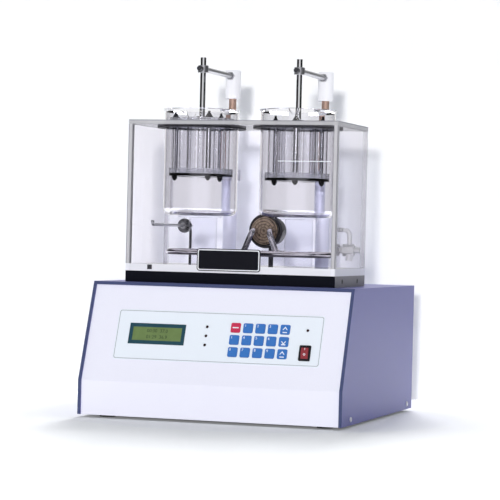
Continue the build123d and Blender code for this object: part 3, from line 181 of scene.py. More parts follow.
def painted_board(name, colour, glow_near, glow_far, one_sided):
    """White paint that also glows for the rays that show it. A one-sided board is clear from behind."""
    material = bpy.data.materials.new(name)
    material.use_nodes = True
    tree = material.node_tree
    tree.nodes.clear()
    matt = tree.nodes.new("ShaderNodeBsdfDiffuse")
    matt.inputs["Color"].default_value = (*colour, 1)
    glow = tree.nodes.new("ShaderNodeEmission")
    place = tree.nodes.new("ShaderNodeTexCoord")
    distance = tree.nodes.new("ShaderNodeVectorMath")
    distance.operation = "LENGTH"
    tree.links.new(place.outputs["Object"], distance.inputs[0])
    strength = eased(tree, distance.outputs["Value"], GLOW_START, GLOW_END, glow_near, glow_far)
    tree.links.new(worked(tree, "MULTIPLY", strength, seen_white(tree)), glow.inputs["Strength"])
    total = tree.nodes.new("ShaderNodeAddShader")
    tree.links.new(matt.outputs[0], total.inputs[0])
    tree.links.new(glow.outputs[0], total.inputs[1])
    end = tree.nodes.new("ShaderNodeOutputMaterial")
    if not one_sided:
        tree.links.new(total.outputs[0], end.inputs[0])
        return material
    nothing = tree.nodes.new("ShaderNodeBsdfTransparent")
    sides = tree.nodes.new("ShaderNodeMixShader")
    back = tree.nodes.new("ShaderNodeNewGeometry")
    tree.links.new(back.outputs["Backfacing"], sides.inputs[0])
    tree.links.new(total.outputs[0], sides.inputs[1])
    tree.links.new(nothing.outputs[0], sides.inputs[2])
    tree.links.new(sides.outputs[0], end.inputs[0])
    return material


def mesh_of(name, points, faces):
    """A mesh from plain points and faces."""
    mesh = bpy.data.meshes.new(name)
    mesh.from_pydata([tuple(point) for point in points], [], faces)
    mesh.update()
    return mesh


def board(name, corners, material):
    """One flat board of the stage, which isn't part of the object."""
    mesh = mesh_of(name, corners, [(0, 1, 2, 3)])
    mesh.materials.append(material)
    piece = linked(name, mesh)
    return piece


reach = FLOOR_SIZE / 2
floor_corners = [(-reach, -reach, 0), (reach, -reach, 0), (reach, reach, 0), (-reach, reach, 0)]
floor_paint = painted_board("floor_paint", FLOOR_COLOUR, FLOOR_GLOW_NEAR, FLOOR_GLOW_FAR, False)
board("floor", floor_corners, floor_paint)
flat_sight = Vector((sight.x, sight.y, 0)).normalized()
left_end = flat_sight * BACKDROP_BEHIND - level * BACKDROP_HALF_W
right_end = flat_sight * BACKDROP_BEHIND + level * BACKDROP_HALF_W
lift_up = Vector((0, 0, BACKDROP_H))
backdrop_corners = [left_end, right_end, right_end + lift_up, left_end + lift_up]
backdrop_paint = painted_board("backdrop_paint", BACKDROP_COLOUR, BACKDROP_GLOW, BACKDROP_GLOW, True)
backdrop = board("backdrop", backdrop_corners, backdrop_paint)
backdrop.visible_shadow = False
backdrop.visible_glossy = False
backdrop.visible_transmission = False

# The light that shows the furthest tubes has crossed the tank's walls, a beaker and the tubes in front, with
# two faces to each, so a ray may cross many clear surfaces before it is given up.
CLEAR_SURFACES = 36
bpy.context.scene.cycles.max_bounces = CLEAR_SURFACES
bpy.context.scene.cycles.transmission_bounces = CLEAR_SURFACES
bpy.context.scene.cycles.transparent_max_bounces = CLEAR_SURFACES

# Cabinet cover and rear panel: one folded steel sheet over the top and both sides, with a hemmed front edge,
# and a flat sheet behind, both sprayed blue-violet. The paint has a fine orange peel. On the hem's faces it
# is painted darker, a painted shade for the gap between the hem and the front panel set behind it.
COVER_BLUE = (0.128, 0.131, 0.36)
HEM_SHADE_BLUE = (0.052, 0.066, 0.155)
HEM_FACING = 0.6
GRAIN_LOW = 0.3
GRAIN_HIGH = 0.7
GRAIN_HEIGHT = 0.0005


def grained(
    name, colour, rough, scale, spread=0.04, bump=0.02, metal=0.0, stretch=(1, 1, 1), fine=6.0, **sockets
):
    """A surface whose colour, roughness and height vary with one noise on Object coordinates."""
    material = bpy.data.materials.new(name)
    material.use_nodes = True
    tree = material.node_tree
    surface = tree.nodes["Principled BSDF"]
    place = tree.nodes.new("ShaderNodeTexCoord")
    mapping = tree.nodes.new("ShaderNodeMapping")
    mapping.inputs["Scale"].default_value = stretch
    tree.links.new(place.outputs["Object"], mapping.inputs["Vector"])
    noise = tree.nodes.new("ShaderNodeTexNoise")
    noise.inputs["Scale"].default_value = scale
    noise.inputs["Detail"].default_value = fine
    tree.links.new(mapping.outputs[0], noise.inputs["Vector"])
    shade = tree.nodes.new("ShaderNodeValToRGB")
    dark, pale = shade.color_ramp.elements
    dark.position = GRAIN_LOW
    pale.position = GRAIN_HIGH
    dark.color = (*[c * (1 - spread) for c in colour], 1)
    pale.color = (*[min(1.0, c * (1 + spread)) for c in colour], 1)
    tree.links.new(noise.outputs["Fac"], shade.inputs["Fac"])
    tree.links.new(shade.outputs["Color"], surface.inputs["Base Color"])
    surface.inputs["Roughness"].default_value = rough
    if rough:
        worn = [rough * (1 - 2 * spread), min(1.0, rough * (1 + 2 * spread))]
        tree.links.new(eased(tree, noise.outputs["Fac"], 0, 1, *worn), surface.inputs["Roughness"])
    surface.inputs["Metallic"].default_value = metal
    for socket, value in sockets.items():
        surface.inputs[socket.replace("_", " ")].default_value = value
    if bump:
        height = tree.nodes.new("ShaderNodeBump")
        height.inputs["Strength"].default_value = bump
        height.inputs["Distance"].default_value = GRAIN_HEIGHT
        tree.links.new(noise.outputs["Fac"], height.inputs["Height"])
        tree.links.new(height.outputs["Normal"], surface.inputs["Normal"])
    return material


def recoloured(material, share, colour):
    """Mixes a second colour into a grained surface where the share is one."""
    tree = material.node_tree
    surface = tree.nodes["Principled BSDF"]
    first = surface.inputs["Base Color"].links[0].from_socket
    mix = tree.nodes.new("ShaderNodeMix")
    mix.data_type = "RGBA"
    tree.links.new(share, mix.inputs["Factor"])
    tree.links.new(first, mix.inputs["A"])
    mix.inputs["B"].default_value = (*colour, 1)
    tree.links.new(mix.outputs["Result"], surface.inputs["Base Color"])


def coordinates(material, output="Object"):
    """The x, y and z of a material's own place or normal."""
    tree = material.node_tree
    place = tree.nodes.new("ShaderNodeTexCoord")
    apart = tree.nodes.new("ShaderNodeSeparateXYZ")
    tree.links.new(place.outputs[output], apart.inputs[0])
    return [apart.outputs[axis] for axis in "XYZ"]


def finish_node(material, *names):
    """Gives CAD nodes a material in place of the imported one."""
    for name in names:
        slots = cad[name].data.materials
        slots.clear()
        slots.append(material)


cover_paint = grained(
    "cover_paint", COVER_BLUE, rough=0.4, scale=700.0, spread=0.03, bump=0.05, Specular_IOR_Level=0.35,
)
tree = cover_paint.node_tree
# Faces that look forwards and backwards, the hem's among them, get a darker blue: painted shade for the gap
# behind the hem.
forward = worked(tree, "ABSOLUTE", coordinates(cover_paint, "Normal")[1])
recoloured(cover_paint, worked(tree, "GREATER_THAN", forward, HEM_FACING), HEM_SHADE_BLUE)
finish_node(cover_paint, "cabinet_cover")
rear_paint = grained(
    "rear_paint", COVER_BLUE, rough=0.42, scale=700.0, spread=0.03, bump=0.05, Specular_IOR_Level=0.35,
)
finish_node(rear_paint, "rear_panel")

# Front panel: a bent steel sheet set behind the cover's hem, sprayed a very pale lavender. The panel is
# bent once, from an upright foot to the slope that carries the controls.
PANEL_WHITE = (0.82, 0.82, 0.93)
panel_paint = grained(
    "panel_paint", PANEL_WHITE, rough=0.42, scale=700.0, spread=0.012, bump=0.04, Specular_IOR_Level=0.3,
)
finish_node(panel_paint, "front_panel")

# Base tray and motor bracket: zinc-plated steel sheet, folded and bolted inside the cover. The plating
# has a spangled, slightly cloudy face.
ZINC = (0.58, 0.59, 0.6)
zinc_steel = grained("zinc_steel", ZINC, rough=0.38, scale=90.0, spread=0.12, bump=0.02, metal=1.0)
finish_node(zinc_steel, "chassis_base", "motor_bracket")

# Feet: four turned black rubber buffers under the tray. Each is held by a screw from inside, and its rim
# is dusty from the bench.
FOOT_BLACK = (0.03, 0.03, 0.033)
foot_rubber = grained("foot_rubber", FOOT_BLACK, rough=0.75, scale=900.0, spread=0.2, bump=0.2)
finish_node(foot_rubber, "rubber_feet")

# Gearmotor: a die-cast gearbox with a black lacquered can behind it. It is bolted to the bracket under
# the bath and drives the cam.
LACQUER_BLACK = (0.045, 0.046, 0.05)
motor_lacquer = grained("motor_lacquer", LACQUER_BLACK, rough=0.4, scale=300.0, spread=0.15, bump=0.1)
finish_node(motor_lacquer, "gearmotor")

# Mains transformer: a core of varnished iron sheets, one above another, with a taped coil between its
# limbs. It stands on the tray behind the motor.
IRON = (0.16, 0.15, 0.15)
SHEET_GRAIN = (1, 1, 40)
core_iron = grained(
    "core_iron", IRON, rough=0.5, scale=40.0, spread=0.3, bump=0.3, metal=0.6, stretch=SHEET_GRAIN,
)
finish_node(core_iron, "power_transformer")

# Control board: a glass-fibre board with green solder mask over copper tracks. It hangs behind the
# panel and carries the key plungers and the lamps.
MASK_GREEN = (0.03, 0.2, 0.09)
board_green = grained("board_green", MASK_GREEN, rough=0.35, scale=240.0, spread=0.25, bump=0.05)
finish_node(board_green, "control_board")

# Mains inlet: a moulded black plastic socket, snapped into the rear panel from outside. Its face is
# slightly matt from the mould.
INLET_BLACK = (0.018, 0.018, 0.02)
moulded_black = grained("moulded_black", INLET_BLACK, rough=0.38, scale=800.0, spread=0.15, bump=0.08)
finish_node(moulded_black, "mains_inlet")

# Screws: pan heads with a cross recess, pressed in bright plated steel on the cover and blackened on the
# plinth, where the near-black heads are also painted shade for the recesses they sit in. A tree of nodes puts
# one head and shank on each place and turns it to face outwards.
SCREW_HEAD_R = 0.0035
SCREW_HEAD_H = 0.002
SCREW_SHANK_R = 0.0018
SCREW_SHANK_L = 0.0065
SCREW_SIDES = 28
CROWN_STEPS = 6
CROWN_TOP_SHARE = 0.62
CROWN_FOOT_SHARE = 0.45
RECESS_L = 0.0042
RECESS_W = 0.0008
RECESS_DEPTH = 0.0012
COVER_SCREW_EDGE = 0.008
COVER_SCREW_FRONT = 0.042
COVER_SCREW_BACK = 0.031
REAR_SCREW_IN = 0.018
PLINTH_SCREW_SHARES = (0.25, 0.75)
FASCIA_T = 0.002
SCREW_BRIGHT = (0.75, 0.75, 0.77)
SCREW_SHADE_DARK = (0.03, 0.03, 0.034)


def turned(name, profile, sides):
    """A closed solid of revolution about Z from (radius, height) points, the first and last on the axis."""
    points = [(0, 0, profile[0][1])]
    for radius, height in profile[1:-1]:
        for step in range(sides):
            angle = math.tau * step / sides
            points.append((radius * math.cos(angle), radius * math.sin(angle), height))
    points.append((0, 0, profile[-1][1]))
    rings = len(profile) - 2
    last = len(points) - 1
    faces = []
    for step in range(sides):
        after = (step + 1) % sides
        faces.append((0, 1 + after, 1 + step))
        for ring in range(rings - 1):
            low = 1 + ring * sides
            high = low + sides
            faces.append((low + step, low + after, high + after, high + step))
        top = 1 + (rings - 1) * sides
        faces.append((top + step, top + after, last))
    mesh = mesh_of(name, points, faces)
    shape = bmesh.new()
    shape.from_mesh(mesh)
    bmesh.ops.recalc_face_normals(shape, faces=shape.faces)
    shape.to_mesh(mesh)
    shape.free()
    return mesh


def settled(piece):
    """Turns what a piece's modifiers make into its plain mesh."""
    bpy.context.view_layer.update()
    seen_piece = piece.evaluated_get(bpy.context.evaluated_depsgraph_get())
    mesh = bpy.data.meshes.new_from_object(seen_piece)
    piece.modifiers.clear()
    piece.data = mesh
    return piece


def cut_with(piece, tool):
    """Cuts the tool's shape out of the piece, and drops the tool."""
    cutter = piece.modifiers.new("cut", "BOOLEAN")
    cutter.operation = "DIFFERENCE"
    cutter.object = tool
    cutter.solver = "EXACT"
    settled(piece)
    bpy.data.objects.remove(tool)


def block(name, size, place):
    """A closed box of the given size round a place."""
    half = [side / 2 for side in size]
    points = [
        (place[0] + sx * half[0], place[1] + sy * half[1], place[2] + sz * half[2])
        for sx in (-1, 1) for sy in (-1, 1) for sz in (-1, 1)
    ]
    faces = [(0, 1, 3, 2), (4, 6, 7, 5), (0, 4, 5, 1), (2, 3, 7, 6), (0, 2, 6, 4), (1, 5, 7, 3)]
    return mesh_of(name, points, faces)


head_profile = [(0, -SCREW_SHANK_L), (SCREW_SHANK_R, -SCREW_SHANK_L), (SCREW_SHANK_R, 0), (SCREW_HEAD_R, 0)]
for step in range(CROWN_STEPS):
    angle = math.radians(90) * step / (CROWN_STEPS - 1)
    radius = SCREW_HEAD_R * (CROWN_TOP_SHARE + (1 - CROWN_TOP_SHARE) * math.cos(angle))
    height = SCREW_HEAD_H * (CROWN_FOOT_SHARE + (1 - CROWN_FOOT_SHARE) * math.sin(angle))
    head_profile.append((radius, height))
head_profile.append((0, SCREW_HEAD_H))
one_screw = linked("one_screw", turned("one_screw", head_profile, SCREW_SIDES))
for size in ((RECESS_L, RECESS_W, RECESS_DEPTH), (RECESS_W, RECESS_L, RECESS_DEPTH)):
    recess_tool = linked("recess_tool", block("recess_tool", size, (0, 0, SCREW_HEAD_H)))
    cut_with(one_screw, recess_tool)
one_screw.hide_render = True
cover_low, cover_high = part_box("cabinet_cover")
plinth_low, plinth_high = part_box("tank_plinth")
rear_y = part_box("rear_panel")[1].y
low_screw_z = cover_low.z + COVER_SCREW_EDGE
high_screw_z = cover_high.z - COVER_SCREW_EDGE
plinth_screw_x = plinth_high.x - SCREW_HEAD_H
plinth_screw_z = (plinth_low.z + plinth_high.z) / 2
plinth_front = plinth_low.y - FASCIA_T
cover_screw_places = []
plinth_screw_places = []
for sign in (-1, 1):
    for y in (cover_low.y + COVER_SCREW_FRONT, cover_high.y - COVER_SCREW_BACK):
        cover_screw_places.append(((sign * cover_high.x, y, low_screw_z), (sign, 0, 0)))
    for share in PLINTH_SCREW_SHARES:
        y = plinth_front + share * (plinth_high.y - plinth_front)
        plinth_screw_places.append(((sign * plinth_screw_x, y, plinth_screw_z), (sign, 0, 0)))
    for z in (low_screw_z, high_screw_z):
        cover_screw_places.append(((sign * (cover_high.x - REAR_SCREW_IN), rear_y, z), (0, 1, 0)))
screw_steel = grained("screw_steel", SCREW_BRIGHT, rough=0.3, scale=900.0, spread=0.1, bump=0.05, metal=1.0)
# The plinth's screws are near black: blackened steel, and painted shade for the recesses they sit in.
screw_black = grained("screw_black", SCREW_SHADE_DARK, rough=0.4, scale=900.0, spread=0.15, bump=0.05, metal=0.5)


def placed_copies(name, places, copy, material):
    """Puts the copy on every (place, direction), its Z along the direction, as one mesh."""
    points = mesh_of(name, [place for place, _ in places], [])
    facing = points.attributes.new("facing", "FLOAT_VECTOR", "POINT")
    for index, (_, direction) in enumerate(places):
        facing.data[index].vector = direction
    piece = linked(name, points)
    tree = bpy.data.node_groups.new(name, "GeometryNodeTree")
    tree.interface.new_socket("Geometry", in_out="INPUT", socket_type="NodeSocketGeometry")
    size = tree.interface.new_socket("Size", in_out="INPUT", socket_type="NodeSocketFloat")
    tree.interface.new_socket("Geometry", in_out="OUTPUT", socket_type="NodeSocketGeometry")
    start = tree.nodes.new("NodeGroupInput")
    end = tree.nodes.new("NodeGroupOutput")
    info = tree.nodes.new("GeometryNodeObjectInfo")
    info.inputs["Object"].default_value = copy
    wanted = tree.nodes.new("GeometryNodeInputNamedAttribute")
    wanted.data_type = "FLOAT_VECTOR"
    wanted.inputs["Name"].default_value = "facing"
    align = tree.nodes.new("FunctionNodeAlignRotationToVector")
    align.axis = "Z"
    instances = tree.nodes.new("GeometryNodeInstanceOnPoints")
    real = tree.nodes.new("GeometryNodeRealizeInstances")
    paint = tree.nodes.new("GeometryNodeSetMaterial")
    paint.inputs["Material"].default_value = material
    tree.links.new(start.outputs["Geometry"], instances.inputs["Points"])
    tree.links.new(info.outputs["Geometry"], instances.inputs["Instance"])
    tree.links.new(wanted.outputs["Attribute"], align.inputs["Vector"])
    tree.links.new(align.outputs["Rotation"], instances.inputs["Rotation"])
    tree.links.new(start.outputs["Size"], instances.inputs["Scale"])
    tree.links.new(instances.outputs["Instances"], real.inputs["Geometry"])
    tree.links.new(real.outputs["Geometry"], paint.inputs["Geometry"])
    tree.links.new(paint.outputs["Geometry"], end.inputs[0])
    copies = piece.modifiers.new("copies", "NODES")
    copies.node_group = tree
    copies[size.identifier] = 1.0
    return settled(piece)


cover_screws = placed_copies("cover_screws", cover_screw_places, one_screw, screw_steel)
plinth_screws = placed_copies("plinth_screws", plinth_screw_places, one_screw, screw_black)
bpy.data.objects.remove(one_screw)
for screws in (cover_screws, plinth_screws):
    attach(screws, "chassis")
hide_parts("case_screws")

# Control overlay: a printed polyester film stuck to the panel's slope, very pale blue. A fine grey line
# with round corners is printed just inside its edge.
OVERLAY_TINT = (0.79, 0.84, 0.92)
PANEL_SET_BACK = 0.002
CREASE_H = 0.047
SLOPE_RUN = 0.05
OVERLAY_FACE = 0.0005
INK = 0.00008
OVERLAY_MID = (0.004, 0.068)
OVERLAY_SIZE = (0.295, 0.072)
BORDER_INSET = 0.0012
BORDER_W = 0.0009
BORDER_OUTER_R = 0.0032
BORDER_INNER_R = 0.0026
BORDER_GREY = (0.36, 0.38, 0.43)
overlay_film = grained(
    "overlay_film", OVERLAY_TINT, rough=0.45, scale=1500.0, spread=0.015, bump=0.1, Specular_IOR_Level=0.3,
)
finish_node(overlay_film, "control_overlay")
crease_z = cover_low.z + CREASE_H
slope = Vector((0, SLOPE_RUN, cover_high.z - crease_z)).normalized()
outward = Vector((1, 0, 0)).cross(slope)
panel_axes = Matrix((Vector((1, 0, 0)), slope, outward)).transposed().to_4x4()
panel_frame = Matrix.Translation((0, cover_low.y + PANEL_SET_BACK, crease_z)) @ panel_axes


def rounded(width, height, radius, steps=6):
    """Points round a rounded rectangle, anticlockwise."""
    points = []
    for corner, (sx, sy) in enumerate(((1, 1), (-1, 1), (-1, -1), (1, -1))):
        for step in range(steps + 1):
            angle = math.radians(90 * corner + 90 * step / steps)
            x = sx * (width / 2 - radius) + radius * math.cos(angle)
            y = sy * (height / 2 - radius) + radius * math.sin(angle)
            points.append((x, y))
    return points


def band(name, outer, inner, low, high, place):
    """A closed flat ring between two outlines with the same number of points."""
    count = len(outer)
    points = []
    for outline, z in ((outer, low), (outer, high), (inner, high), (inner, low)):
        points.extend((x + place[0], y + place[1], z) for x, y in outline)
    faces = []
    for ring in range(4):
        here = ring * count
        there = (ring + 1) % 4 * count
        for step in range(count):
            after = (step + 1) % count
            faces.append((here + step, here + after, there + after, there + step))
    return mesh_of(name, points, faces)


def framed(name, width, height, inset, line, outer_r, inner_r, low, high, place):
    """A printed line that runs round inside the edge of a rectangle."""
    outer = rounded(width - 2 * inset, height - 2 * inset, outer_r)
    inner = rounded(width - 2 * (inset + line), height - 2 * (inset + line), inner_r)
    return band(name, outer, inner, low, high, place)


def plate(name, outline, low, high, place):
    """A closed flat plate with the given outline."""
    count = len(outline)
    points = [(x + place[0], y + place[1], low) for x, y in outline]
    points += [(x + place[0], y + place[1], high) for x, y in outline]
    faces = [tuple(reversed(range(count))), tuple(range(count, 2 * count))]
    for step in range(count):
        after = (step + 1) % count
        faces.append((step, after, count + after, count + step))
    return mesh_of(name, points, faces)


def printed(mesh, material, slot, body="chassis"):
    """Makes a printed mark a piece, with its ink and the body that it rides on. The slot is not used."""
    mesh.materials.clear()
    mesh.materials.append(material)
    piece = linked(mesh.name, mesh)
    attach(piece, body)


def on_panel(mesh, *finish):
    """Carries a mark drawn in the panel's own plane to its place on the slope, and prints it."""
    mesh.transform(panel_frame)
    printed(mesh, *finish)


border = framed(
    "overlay_border", *OVERLAY_SIZE, BORDER_INSET, BORDER_W, BORDER_OUTER_R, BORDER_INNER_R,
    OVERLAY_FACE - INK, OVERLAY_FACE + INK, OVERLAY_MID,
)
border_ink = grained("border_ink", BORDER_GREY, rough=0.5, scale=900.0, spread=0.1, bump=0.0)
on_panel(border, border_ink, "overlay_film")

# Display: a liquid crystal panel in a dark blue-green frame, screwed on from behind. Two rows of small
# dark figures show on the olive-green field.
LCD_MID = (-0.084, 0.0698)
LCD_FIELD = (0.0716, 0.0205)
LCD_CORNER_R = 0.0008
LCD_BACK = -0.0003
LCD_FACE = 0.0
LCD_INK_LEVEL = 0.00002
LCD_FIGURE_SIZE = 0.0068
LCD_ROWS = (("00:30  37.0", 0.0044), ("01:29  36.9", -0.0044))
FRAME_GREEN = (0.018, 0.06, 0.085)
FIELD_OLIVE = (0.14, 0.205, 0.075)
FIGURE_DARK = (0.035, 0.055, 0.03)
FONT_STEPS = 3
display_frame = grained(
    "display_frame", FRAME_GREEN, rough=0.4, scale=600.0, spread=0.12, bump=0.05, Specular_IOR_Level=0.2,
)
finish_node(display_frame, "display_module")
lcd_field = grained(
    "lcd_field", FIELD_OLIVE, rough=0.4, scale=60.0, spread=0.1, bump=0.0, fine=2.0, Specular_IOR_Level=0.2,
)
lcd_ink = grained(
    "lcd_ink", FIGURE_DARK, rough=0.4, scale=300.0, spread=0.1, bump=0.0, Specular_IOR_Level=0.2,
)


def lettering(name, words, size, place, z):
    """A mesh of flat characters in the panel's plane, centred on a place."""
    curve = bpy.data.curves.new(name, "FONT")
    curve.body = words
    curve.size = size
    curve.align_x = "CENTER"
    curve.align_y = "CENTER"
    curve.extrude = INK / 2
    curve.resolution_u = FONT_STEPS
    text = linked(name + "_text", curve)
    bpy.context.view_layer.update()
    mesh = bpy.data.meshes.new_from_object(text.evaluated_get(bpy.context.evaluated_depsgraph_get()))
    bpy.data.objects.remove(text)
    mesh.name = name
    mesh.transform(Matrix.Translation((*place, z)))
    return mesh


field = plate("lcd_field", rounded(*LCD_FIELD, LCD_CORNER_R), LCD_BACK, LCD_FACE, LCD_MID)
on_panel(field, lcd_field, "display_frame")
for row, (words, shift) in enumerate(LCD_ROWS):
    place = (LCD_MID[0], LCD_MID[1] + shift)
    figures = lettering(f"lcd_row_{row + 1}", words, LCD_FIGURE_SIZE, place, LCD_INK_LEVEL)
    on_panel(figures, lcd_ink, "display_frame")

# Lamps: round light-emitting diodes, unlit and nearly black, pushed through the panel from the board
# behind. Each has a low clear dome.
DIODE_DARK = (0.03, 0.01, 0.014)
lamp_dark = grained(
    "lamp_dark", DIODE_DARK, rough=0.2, scale=300.0, spread=0.1, bump=0.0, Specular_IOR_Level=0.2,
)
finish_node(lamp_dark, "indicator_leds")

# Keys: fifteen moulded caps, one red and the rest blue, that stand just proud of the film. A small white
# figure is printed at each cap's top left, a bar on the red one, and arrows on the last column.
KEY_NAMES = [
    ["key_stop", "key_1", "key_2", "key_3", "key_up"],
    ["key_start", "key_4", "key_5", "key_6", "key_down"],
    ["key_0", "key_7", "key_8", "key_9", "key_enter"],
]
KEY_FIRST = (0.028, 0.0485)
KEY_PITCH = (0.0175, 0.01725)
KEY_FACE = 0.0011
FIGURE_SIZE = 0.0052
FIGURE_SHIFT = (-0.0038, 0.0034)
STOP_BAR = (0.0088, 0.0016, 0.0006)
ARROW_HALF_W = 0.0036
ARROW_TIP = 0.0042
ARROW_FOOT = -0.0006
NOTCH_HALF_W = 0.0022
NOTCH_TIP = 0.0022
ARROW = [
    (ARROW_HALF_W, ARROW_FOOT), (0, ARROW_TIP), (-ARROW_HALF_W, ARROW_FOOT),
    (-NOTCH_HALF_W, ARROW_FOOT), (0, NOTCH_TIP), (NOTCH_HALF_W, ARROW_FOOT),
]
ARROW_BAR = (0.0062, 0.0014, 0.0005)
ARROW_BAR_DROP = 0.0042
CAP_BLUE = (0.045, 0.17, 0.5)
CAP_RED = (0.55, 0.035, 0.09)
SIGN_WHITE = (0.8, 0.83, 0.9)
key_blue = grained(
    "key_blue", CAP_BLUE, rough=0.45, scale=1200.0, spread=0.1, bump=0.12, Specular_IOR_Level=0.2,
)
key_red = grained(
    "key_red", CAP_RED, rough=0.45, scale=1200.0, spread=0.08, bump=0.12, Specular_IOR_Level=0.2,
)
sign_white = grained("sign_white", SIGN_WHITE, rough=0.5, scale=900.0, spread=0.03, bump=0.0)
for row, names in enumerate(KEY_NAMES):
    for column, name in enumerate(names):
        x = KEY_FIRST[0] + column * KEY_PITCH[0]
        y = KEY_FIRST[1] + (len(KEY_NAMES) - 1 - row) * KEY_PITCH[1]
        cap, slot = (key_red, "key_red") if name == "key_stop" else (key_blue, "key_blue")
        finish_node(cap, name)
        signs = []
        if name == "key_stop":
            signs.append(plate(name + "_bar", rounded(*STOP_BAR), KEY_FACE, KEY_FACE + INK, (x, y)))
        elif column == len(names) - 1:
            arrow = [(px, -py) for px, py in reversed(ARROW)] if name == "key_down" else ARROW
            signs.append(plate(name + "_arrow", arrow, KEY_FACE, KEY_FACE + INK, (x, y)))
            bar_place = (x, y - ARROW_BAR_DROP)
            signs.append(plate(name + "_bar", rounded(*ARROW_BAR), KEY_FACE, KEY_FACE + INK, bar_place))
        else:
            figure = "I" if name == "key_start" else name[-1]
            corner = (x + FIGURE_SHIFT[0], y + FIGURE_SHIFT[1])
            signs.append(lettering(name + "_sign", figure, FIGURE_SIZE, corner, KEY_FACE + INK / 2))
        for sign in signs:
            on_panel(sign, sign_white, slot, name + "_body")

# Mains switch: a red rocker in a moulded black bezel, snapped into the panel. The rocker's plastic is a
# deep, slightly dull red, with a white line and a ring printed on its two halves.
ROCKER_MID = (0.1295, 0.0525)
MARK_SHIFT = 0.0038
MARK_LINE = (0.0008, 0.003, 0.0003)
MARK_RING_R = 0.0015
MARK_RING_HOLE_R = 0.0008
MARK_START = 0.02
BEZEL_BLACK = (0.012, 0.012, 0.015)
ROCKER_RED = (0.26, 0.035, 0.045)
bezel_black = grained(
    "bezel_black", BEZEL_BLACK, rough=0.45, scale=800.0, spread=0.15, bump=0.08, Specular_IOR_Level=0.15,
)
finish_node(bezel_black, "power_switch_body")
rocker_red = grained(
    "rocker_red", ROCKER_RED, rough=0.4, scale=600.0, spread=0.12, bump=0.06, Specular_IOR_Level=0.25,
)
finish_node(rocker_red, "power_rocker")


def laid_on(mesh, node):
    """Drops flat points in the panel's plane onto a node's outer surface, keeping their thickness."""
    surface = cad[node]
    turned_back = panel_frame.inverted()
    aim = panel_frame.to_3x3() @ Vector((0, 0, -1))
    for point in mesh.vertices:
        start = panel_frame @ Vector((point.co.x, point.co.y, MARK_START))
        hit, where, _, _ = surface.ray_cast(start, aim)
        if hit:
            point.co.z += (turned_back @ where).z
    return mesh


def circle(radius, steps=24):
    """Points round a circle, anticlockwise."""
    angles = [math.tau * step / steps for step in range(steps)]
    return [(radius * math.cos(angle), radius * math.sin(angle)) for angle in angles]


on_place = (ROCKER_MID[0], ROCKER_MID[1] + MARK_SHIFT)
off_place = (ROCKER_MID[0], ROCKER_MID[1] - MARK_SHIFT)
rocker_line = plate("rocker_line", rounded(*MARK_LINE), -INK, INK, on_place)
rocker_ring = band("rocker_ring", circle(MARK_RING_R), circle(MARK_RING_HOLE_R), -INK, INK, off_place)
for mark in (rocker_line, rocker_ring):
    on_panel(laid_on(mark, "power_rocker"), sign_white, "rocker_red", "rocker")

# Plinth: a grey anodised metal base, folded and screwed to the cover under the bath. Its brushed grain
# runs level along the sides.
ANODISED_GREY = (0.24, 0.235, 0.25)
LEVEL_GRAIN = (1, 1, 30)
plinth_metal = grained(
    "plinth_metal", ANODISED_GREY, rough=0.5, scale=60.0, spread=0.12, bump=0.06, metal=0.3,
    stretch=LEVEL_GRAIN,
)
finish_node(plinth_metal, "tank_plinth")

# Fascia: a strip of black enamelled sheet across the plinth's front, glued on. It is nearly flat black,
# with a few dull patches.
ENAMEL_BLACK = (0.0045, 0.005, 0.009)
fascia_black = grained(
    "fascia_black", ENAMEL_BLACK, rough=0.5, scale=600.0, spread=0.2, bump=0.03, Specular_IOR_Level=0.08,
)
finish_node(fascia_black, "plinth_fascia")

# Bath: five cemented sheets of clear acrylic, clear through their faces. The floor's ground edge shows as a
# pale band. At the cemented corners a pale band with dark outlines is painted light and shade: it stands for
# the light that the sheets' edges bend and reflect, stronger on the front corners than on the back ones.
SHEET = 0.006
BATH_FLOOR_TOP = 0.2115
FACING = 0.5
CORNER_PAINTED_LIGHT = (0.58, 0.57, 0.6)
CORNER_PAINTED_SHADE = (0.27, 0.27, 0.3)
CORNER_LINE_SHARE = 0.15
FRONT_BAND_SHARE = 0.85
BACK_BAND_SHARE = 0.22
FLOOR_EDGE = (0.86, 0.86, 0.92)
FLOOR_EDGE_SHARE = 0.9
ACRYLIC_TINT = (0.985, 0.98, 0.992)
CLEAR_SHADOW = (0.95, 0.955, 0.965)
ACRYLIC_INDEX = 1.16
SMEAR_SCALE = 30.0
SMEAR_ROUGH = (0.01, 0.06)


